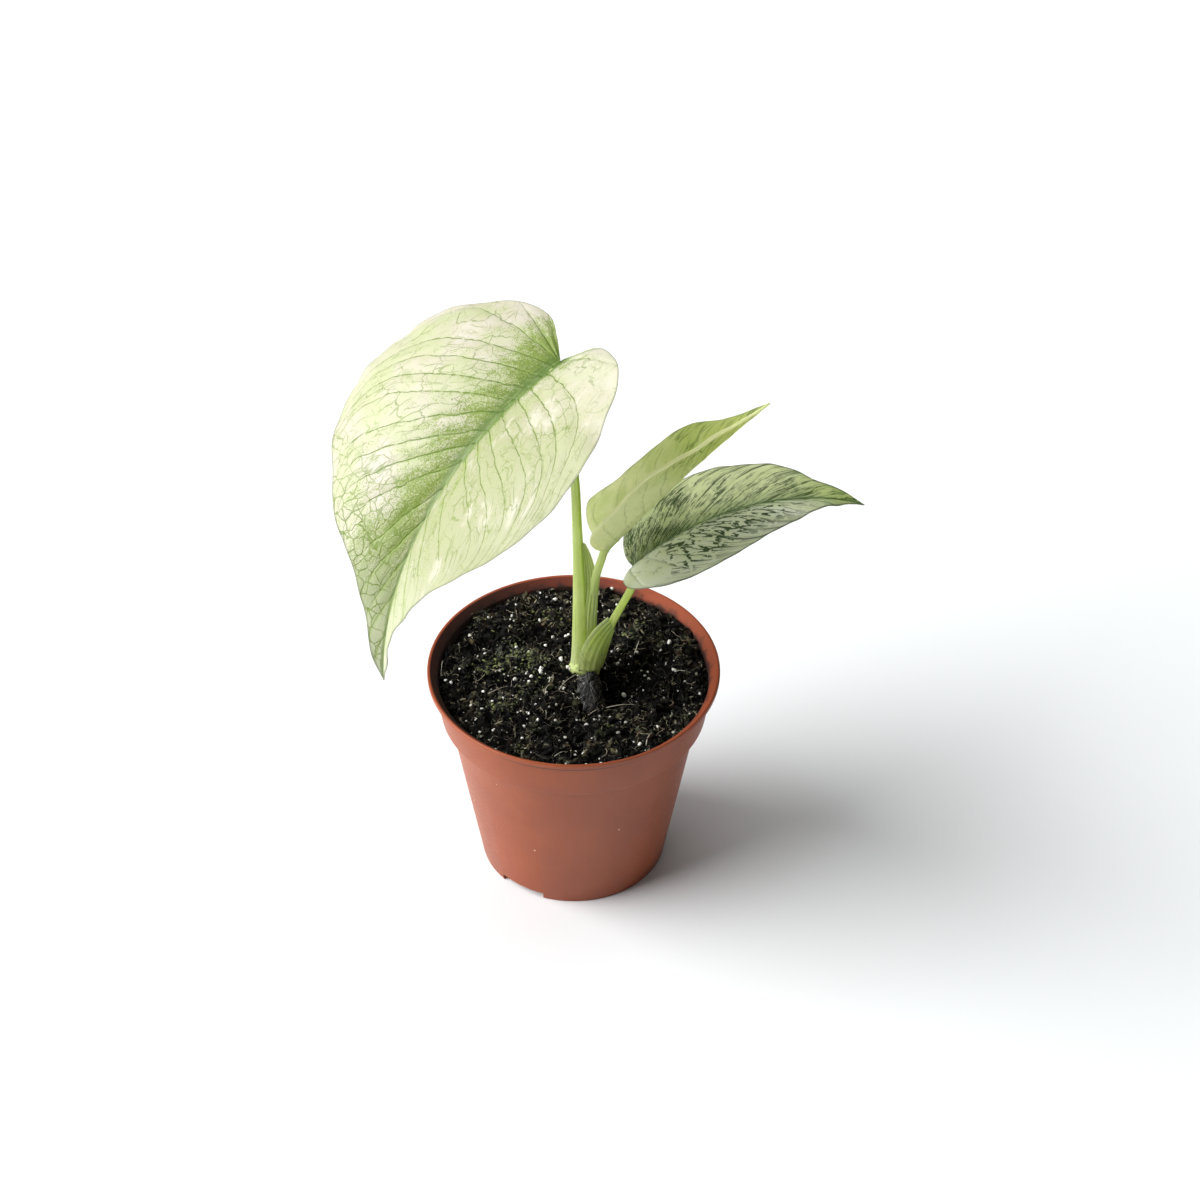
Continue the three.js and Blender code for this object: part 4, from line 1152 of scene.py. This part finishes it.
def wrap_grid():
    """The large stalk's sheath: it holds the young stalk's front and ends in a free pointed wing."""
    foot, held, loosened, tip = 71.1, 90.1, 108.0, 117.6  # heights in millimetres
    z = np.linspace(foot, tip, SHEATH_ROWS)[:, None]
    share = np.linspace(0, 1, SHEATH_COLUMNS)[None]
    loose = smoothstep(held, loosened, z)
    young_x, young_y = station_at(YOUNG_LEAF.stalk, z)
    large_x, large_y = station_at(LARGE_LEAF.stalk, z)
    rise = np.clip((z - held) / (tip - held), 0, 1)
    free_x = lerp(7.2, 3.7, rise ** 3.6)
    angle = lerp(165, 290, share) * RAD
    x = lerp(young_x + 2.35 * np.cos(angle), lerp(large_x + 1.1, free_x, share), loose)
    y = lerp(young_y + 2.35 * np.sin(angle), large_y - 1.1 * share, loose)
    return np.stack([x, y, z + 0 * share], axis=-1) * MM, share + 0 * z


def wing_grid():
    """The speckled leaf's sheath: it clasps its stalk's front and ends in a pointed wing on the left."""
    foot_z, foot_x = 70.2, 1.4
    tip = (10.4, 1.3, 91.2)
    right_drop = 6.5
    rise = np.linspace(0, 1, SHEATH_ROWS)[:, None]
    across = np.linspace(0, 1, SHEATH_COLUMNS)[None]
    z = lerp(foot_z, tip[2] - right_drop * across ** 0.8, rise)
    root_x, root_y = station_at(SPECKLED_LEAF.stalk, z)
    hug = 1.45 + lerp(0.35, -0.35, rise ** 2)
    free_x = lerp(foot_x, tip[0], rise ** 2.3)
    front = 0.9 * (1 - rise) ** 0.5
    controls = [
        (free_x, tip[1] + 0 * z), (lerp(free_x, root_x, 0.45), root_y - hug - front),
        (root_x + hug, root_y - 1.6 * hug), (root_x + hug, root_y + 0.3 * hug),
    ]
    rest = 1 - across
    weights = [rest ** 3, 3 * across * rest ** 2, 3 * across ** 2 * rest, across ** 3]
    x = sum(weight * control[0] for weight, control in zip(weights, controls))
    y = sum(weight * control[1] for weight, control in zip(weights, controls))
    return np.stack([x, y, z], axis=-1) * MM, 1 - across + 0 * rise


def grid_normals(grid):
    normal = np.cross(np.gradient(grid, axis=0), np.gradient(grid, axis=1))
    return normalised(normal + 1e-15)


def sheath_mesh(grid, free_share, ribs):
    """A thin leaf sheath with ribs along it, thinnest at its free edge."""
    normals = grid_normals(grid)
    half = 0.5 * lerp(0.62, 0.22, free_share ** 2) * MM
    ridge = 0.2 * MM * (0.5 + 0.5 * np.cos(free_share * ribs * TURN)) * (1 - free_share ** 4)
    points, faces = slab(grid, normals, half + ridge, half + ridge)
    flat_share = np.tile(free_share.ravel(), 2)
    groove = np.tile((0.5 - 0.5 * np.cos(free_share * ribs * TURN)).ravel(), 2)
    stem = np.stack([flat_share, points[:, 2] / MM, groove], axis=1)
    return (points, faces), stem, flat_share


def make_stalk(name, node, leaf, material, sheaths=()):
    heap = Heap()
    for shape, stem, thin in [stalk_mesh(stalk_to(leaf)), *sheaths]:
        heap.add(shape, stem=stem, thin=thin)
    heap.make(name, material, 50, (node,))


# Leaf blades

def walk(angle, rate, distance):
    """Where a walk ends that starts at an angle and turns at an even rate."""
    end = angle + rate * distance
    return (np.sin(end) - np.sin(angle)) / rate, (np.cos(angle) - np.cos(end)) / rate


def rib_frame(leaf, x):
    """The blade's place, its direction across and its upper normal at x along the midrib."""
    bend = -leaf.droop * RAD / leaf.length
    pitch = leaf.pitch * RAD
    ahead, up = walk(pitch, bend, x)
    slope = pitch + bend * x
    turn = leaf.heading * RAD
    heading = np.array([math.cos(turn), math.sin(turn), 0])
    left = np.array([-heading[1], heading[0], 0])
    normal = -np.sin(slope)[..., None] * heading + np.cos(slope)[..., None] * UP
    tilt = ((leaf.roll + leaf.twist * x / leaf.length) * RAD)[..., None]
    place = np.array(leaf.sinus) + ahead[..., None] * heading + up[..., None] * UP
    return place, np.cos(tilt) * left + np.sin(tilt) * normal, np.cos(tilt) * normal - np.sin(tilt) * left


def blade_points(leaf, x, y, side):
    """Points x along the midrib and y out from it on a side, with the blade's normals there."""
    place, across, upper = rib_frame(leaf, x)
    curl = np.where(side > 0, *leaf.curl) * RAD / (leaf.curl_width * leaf.length)
    fold = leaf.fold * RAD
    ahead, up = walk(fold, curl, y)
    points = place + (side * ahead)[..., None] * across + up[..., None] * upper
    lean = (fold + curl * y) * smoothstep(0, 1.6 * MM, y)
    normals = np.cos(lean)[..., None] * upper - (side * np.sin(lean))[..., None] * across
    return points, normals


def half_width(leaf, x, side):
    """The blade's width on one side, held at its widest behind the widest place."""
    widths = []
    for outline in leaf.outlines:
        margin = spline(outline, np.linspace(0, 1, 400))
        widest = int(np.argmax(margin[:, 1]))
        widths.append(np.interp(x / leaf.length, margin[widest:, 0], margin[widest:, 1]))
    slim = 1 - leaf.slim_right * x / leaf.length
    scale = np.where(side > 0, leaf.width[0], leaf.width[1] * slim)
    return np.maximum(np.where(side > 0, *widths) * scale * leaf.length, 0.4 * MM)


def vein_phase(leaf, x, y, side):
    """The number of the side vein at a point, whole on a vein and even between two."""
    share = np.clip(y / half_width(leaf, x, side), 0, 1.2)
    turn = MARGIN_BEND * half_width(leaf, x, side) * share ** 8
    phase = np.zeros_like(x)
    for which, laterals in zip((1, -1), leaf.laterals):
        table = np.array([(-3, -2.5), *laterals, (laterals[-1][0] + 14, 3.2), (leaf.length / MM + 30, 3.4)])
        numbers = np.arange(len(table)) - 1.0
        low, high = np.full_like(x, numbers[0]), np.full_like(x, numbers[-1])
        for _ in range(26):
            middle = (low + high) / 2
            root = np.interp(middle, numbers, table[:, 0]) * MM
            lean = np.interp(middle, numbers, table[:, 1])
            ahead = root + lean * y + turn < x
            low = np.where(ahead, middle, low)
            high = np.where(ahead, high, middle)
        phase = np.where(side == which, low, phase)
    return phase


def blade_grid(leaf):
    """x and y along and out from the midrib, the side and the share of the way to the margin."""
    shares = np.linspace(0, 1, leaf.rows + 1)
    left, right = (spline(outline, shares)[:, None] for outline in leaf.outlines)
    columns = np.arange(-leaf.columns, leaf.columns + 1)
    side = np.where(columns < 0, 1.0, -1.0)[None] + 0 * shares[:, None]
    out = (np.abs(columns) / leaf.columns)[None] + 0 * shares[:, None]
    edge_x = np.where(side > 0, left[..., 0], right[..., 0])
    edge_y = np.abs(np.where(side > 0, left[..., 1], right[..., 1]))
    width = np.where(side > 0, leaf.width[0], leaf.width[1] * (1 - leaf.slim_right * edge_x))
    x = lerp((shares ** 2)[:, None], edge_x, out) * leaf.length
    y = edge_y * out * width * leaf.length
    margin_away = (1 - out) * edge_y * width * leaf.length
    return x, y, side, out, margin_away


def make_leaf(name, node, leaf, material):
    x, y, side, out, margin_away = blade_grid(leaf)
    points, normals = blade_points(leaf, x, y, side)
    phase = vein_phase(leaf, x, y, side)
    step = 0.05 * MM
    along = (vein_phase(leaf, x + step, y, side) - phase) / step
    outward = (vein_phase(leaf, x, y + step, side) - phase) / step
    spacing = 1 / np.maximum(np.hypot(along, outward), 1 / (30 * MM))
    from_vein = np.abs(phase - np.round(phase)) * spacing
    valley = np.exp(-(from_vein / (0.55 * MM)) ** 2) * smoothstep(0, 3 * MM, margin_away)
    pillow = (0.5 - 0.5 * np.cos(TURN * phase)) * smoothstep(0, 5 * MM, margin_away)
    pillow *= smoothstep(0.5 * MM, 5 * MM, y)
    ripple = np.sin(TURN * x / leaf.wave_length + 1.3 * side)
    ripple += 0.5 * np.sin(TURN * x / (0.43 * leaf.wave_length) + 2.1 * side)
    lift = leaf.quilt * pillow + leaf.wave * ripple * out ** 4 * smoothstep(1, 0.85, x / leaf.length)
    middle = points + normals * lift[..., None]
    half = leaf.thickness * lerp(0.5, 0.22, out ** 3)
    tip_share = 1 - x / leaf.length
    roll = np.exp(-((margin_away - 0.6 * MM) / (0.7 * MM)) ** 2) * smoothstep(0.05, 0.4, tip_share)
    half += leaf.roll_margin * roll * (side < 0) * (out < 1)
    rib_width = leaf.rib_width * np.clip(0.22 + 0.78 * tip_share, 0.2, 1)
    rib = np.sqrt(np.clip(1 - (y / rib_width) ** 2, 0, 1)) * leaf.rib_height * np.clip(tip_share, 0.06, 1)
    fill = np.exp(-(y / (0.8 * rib_width)) ** 2) * 0.3 * MM * np.clip(tip_share, 0, 1)
    above = half + fill - 0.1 * MM * valley
    below = half + rib + 0.12 * MM * valley
    shape = slab(middle, normals, above, below)
    under = np.repeat([0.0, 1.0], x.size)
    coordinates = np.column_stack([twice(x / MM, y * side / MM), under])
    layers = {"leaf": coordinates, "vein": twice(phase, spacing / MM, margin_away / MM)}
    piece(name, shape, material, (node,), 60, layers)


def twice(*grids):
    """Grids as columns of values, for the upper face and again for the lower one."""
    return np.tile(np.stack([grid.ravel() for grid in grids], axis=1), (2, 1))


# Studio

def make_floor():
    mesh = bpy.data.meshes.new("studio_floor")
    corners = [(FLOOR_REACH * x, FLOOR_REACH * y, 0) for x, y in ((-1, -1), (1, -1), (1, 1), (-1, 1))]
    mesh.from_pydata(corners, [], [(0, 1, 2, 3)])
    mesh.materials.append(floor_material())
    floor = linked("studio_floor", mesh)


def make_studio():
    make_floor()
    for name, place, width, power in LIGHTS:
        data = bpy.data.lights.new(name, "AREA")
        data.shape = "DISK"
        data.size = width
        data.energy = power
        light = linked(name, data)
        light.location = place
        light.rotation_euler = (Vector(LIGHT_TARGET) - Vector(place)).to_track_quat("-Z", "Y").to_euler()
    world = bpy.data.worlds.new("studio_world")
    world.use_nodes = True
    background = world.node_tree.nodes["Background"]
    background.inputs["Color"].default_value = (1, 1, 1, 1)
    background.inputs["Strength"].default_value = WORLD_STRENGTH
    scene = bpy.context.scene
    scene.world = world
    scene.view_settings.view_transform = "Standard"
    scene.view_settings.look = "None"


def make_camera():
    data = bpy.data.cameras.new("camera")
    data.sensor_width = SENSOR_MM
    data.lens = FOCAL_PX / PHOTO_PX * SENSOR_MM
    data.shift_x = (PHOTO_PX / 2 - AXIS_PX[0]) / PHOTO_PX
    data.clip_start = 0.01
    data.clip_end = 20
    camera = linked("camera", data)
    camera.location = CAMERA_PLACE
    camera.rotation_euler = ((90 - CAMERA_DOWN_DEG) * RAD, 0, 0)
    bpy.context.scene.camera = camera


make_camera()
make_studio()
make_pot()
make_soil()
make_crumbs()
make_fibres()
make_perlite()
make_moss()
make_rootlets()
make_chips()
make_root_plug()
make_crown()

stalk_skin = stem_material("stalk_skin", (244, 250, 200), (228, 241, 162), (178, 198, 96))
# Painted light: a brighter copy of the stalk skin, for a stalk and sheath that lie in the large leaf's
# shadow.
sheath_skin_brightened = stem_material("sheath_skin_brightened", (252, 255, 196), (236, 251, 150), (116, 154, 48))
speckled_sheath = sheath_mesh(*wing_grid(), 6)
make_stalk("stalk_large", "petiole_large", LARGE_LEAF, stalk_skin, [sheath_mesh(*wrap_grid(), 5)])
make_stalk("stalk_young", "petiole_young", YOUNG_LEAF, stalk_skin)
make_stalk("stalk_speckled", "petiole_speckled", SPECKLED_LEAF, sheath_skin_brightened, [speckled_sheath])
make_leaf("blade_large", "leaf_large", LARGE_LEAF, large_leaf_material())
make_leaf("blade_young", "leaf_young", YOUNG_LEAF, young_leaf_material())
make_leaf("blade_speckled", "leaf_speckled", SPECKLED_LEAF, speckled_leaf_material())
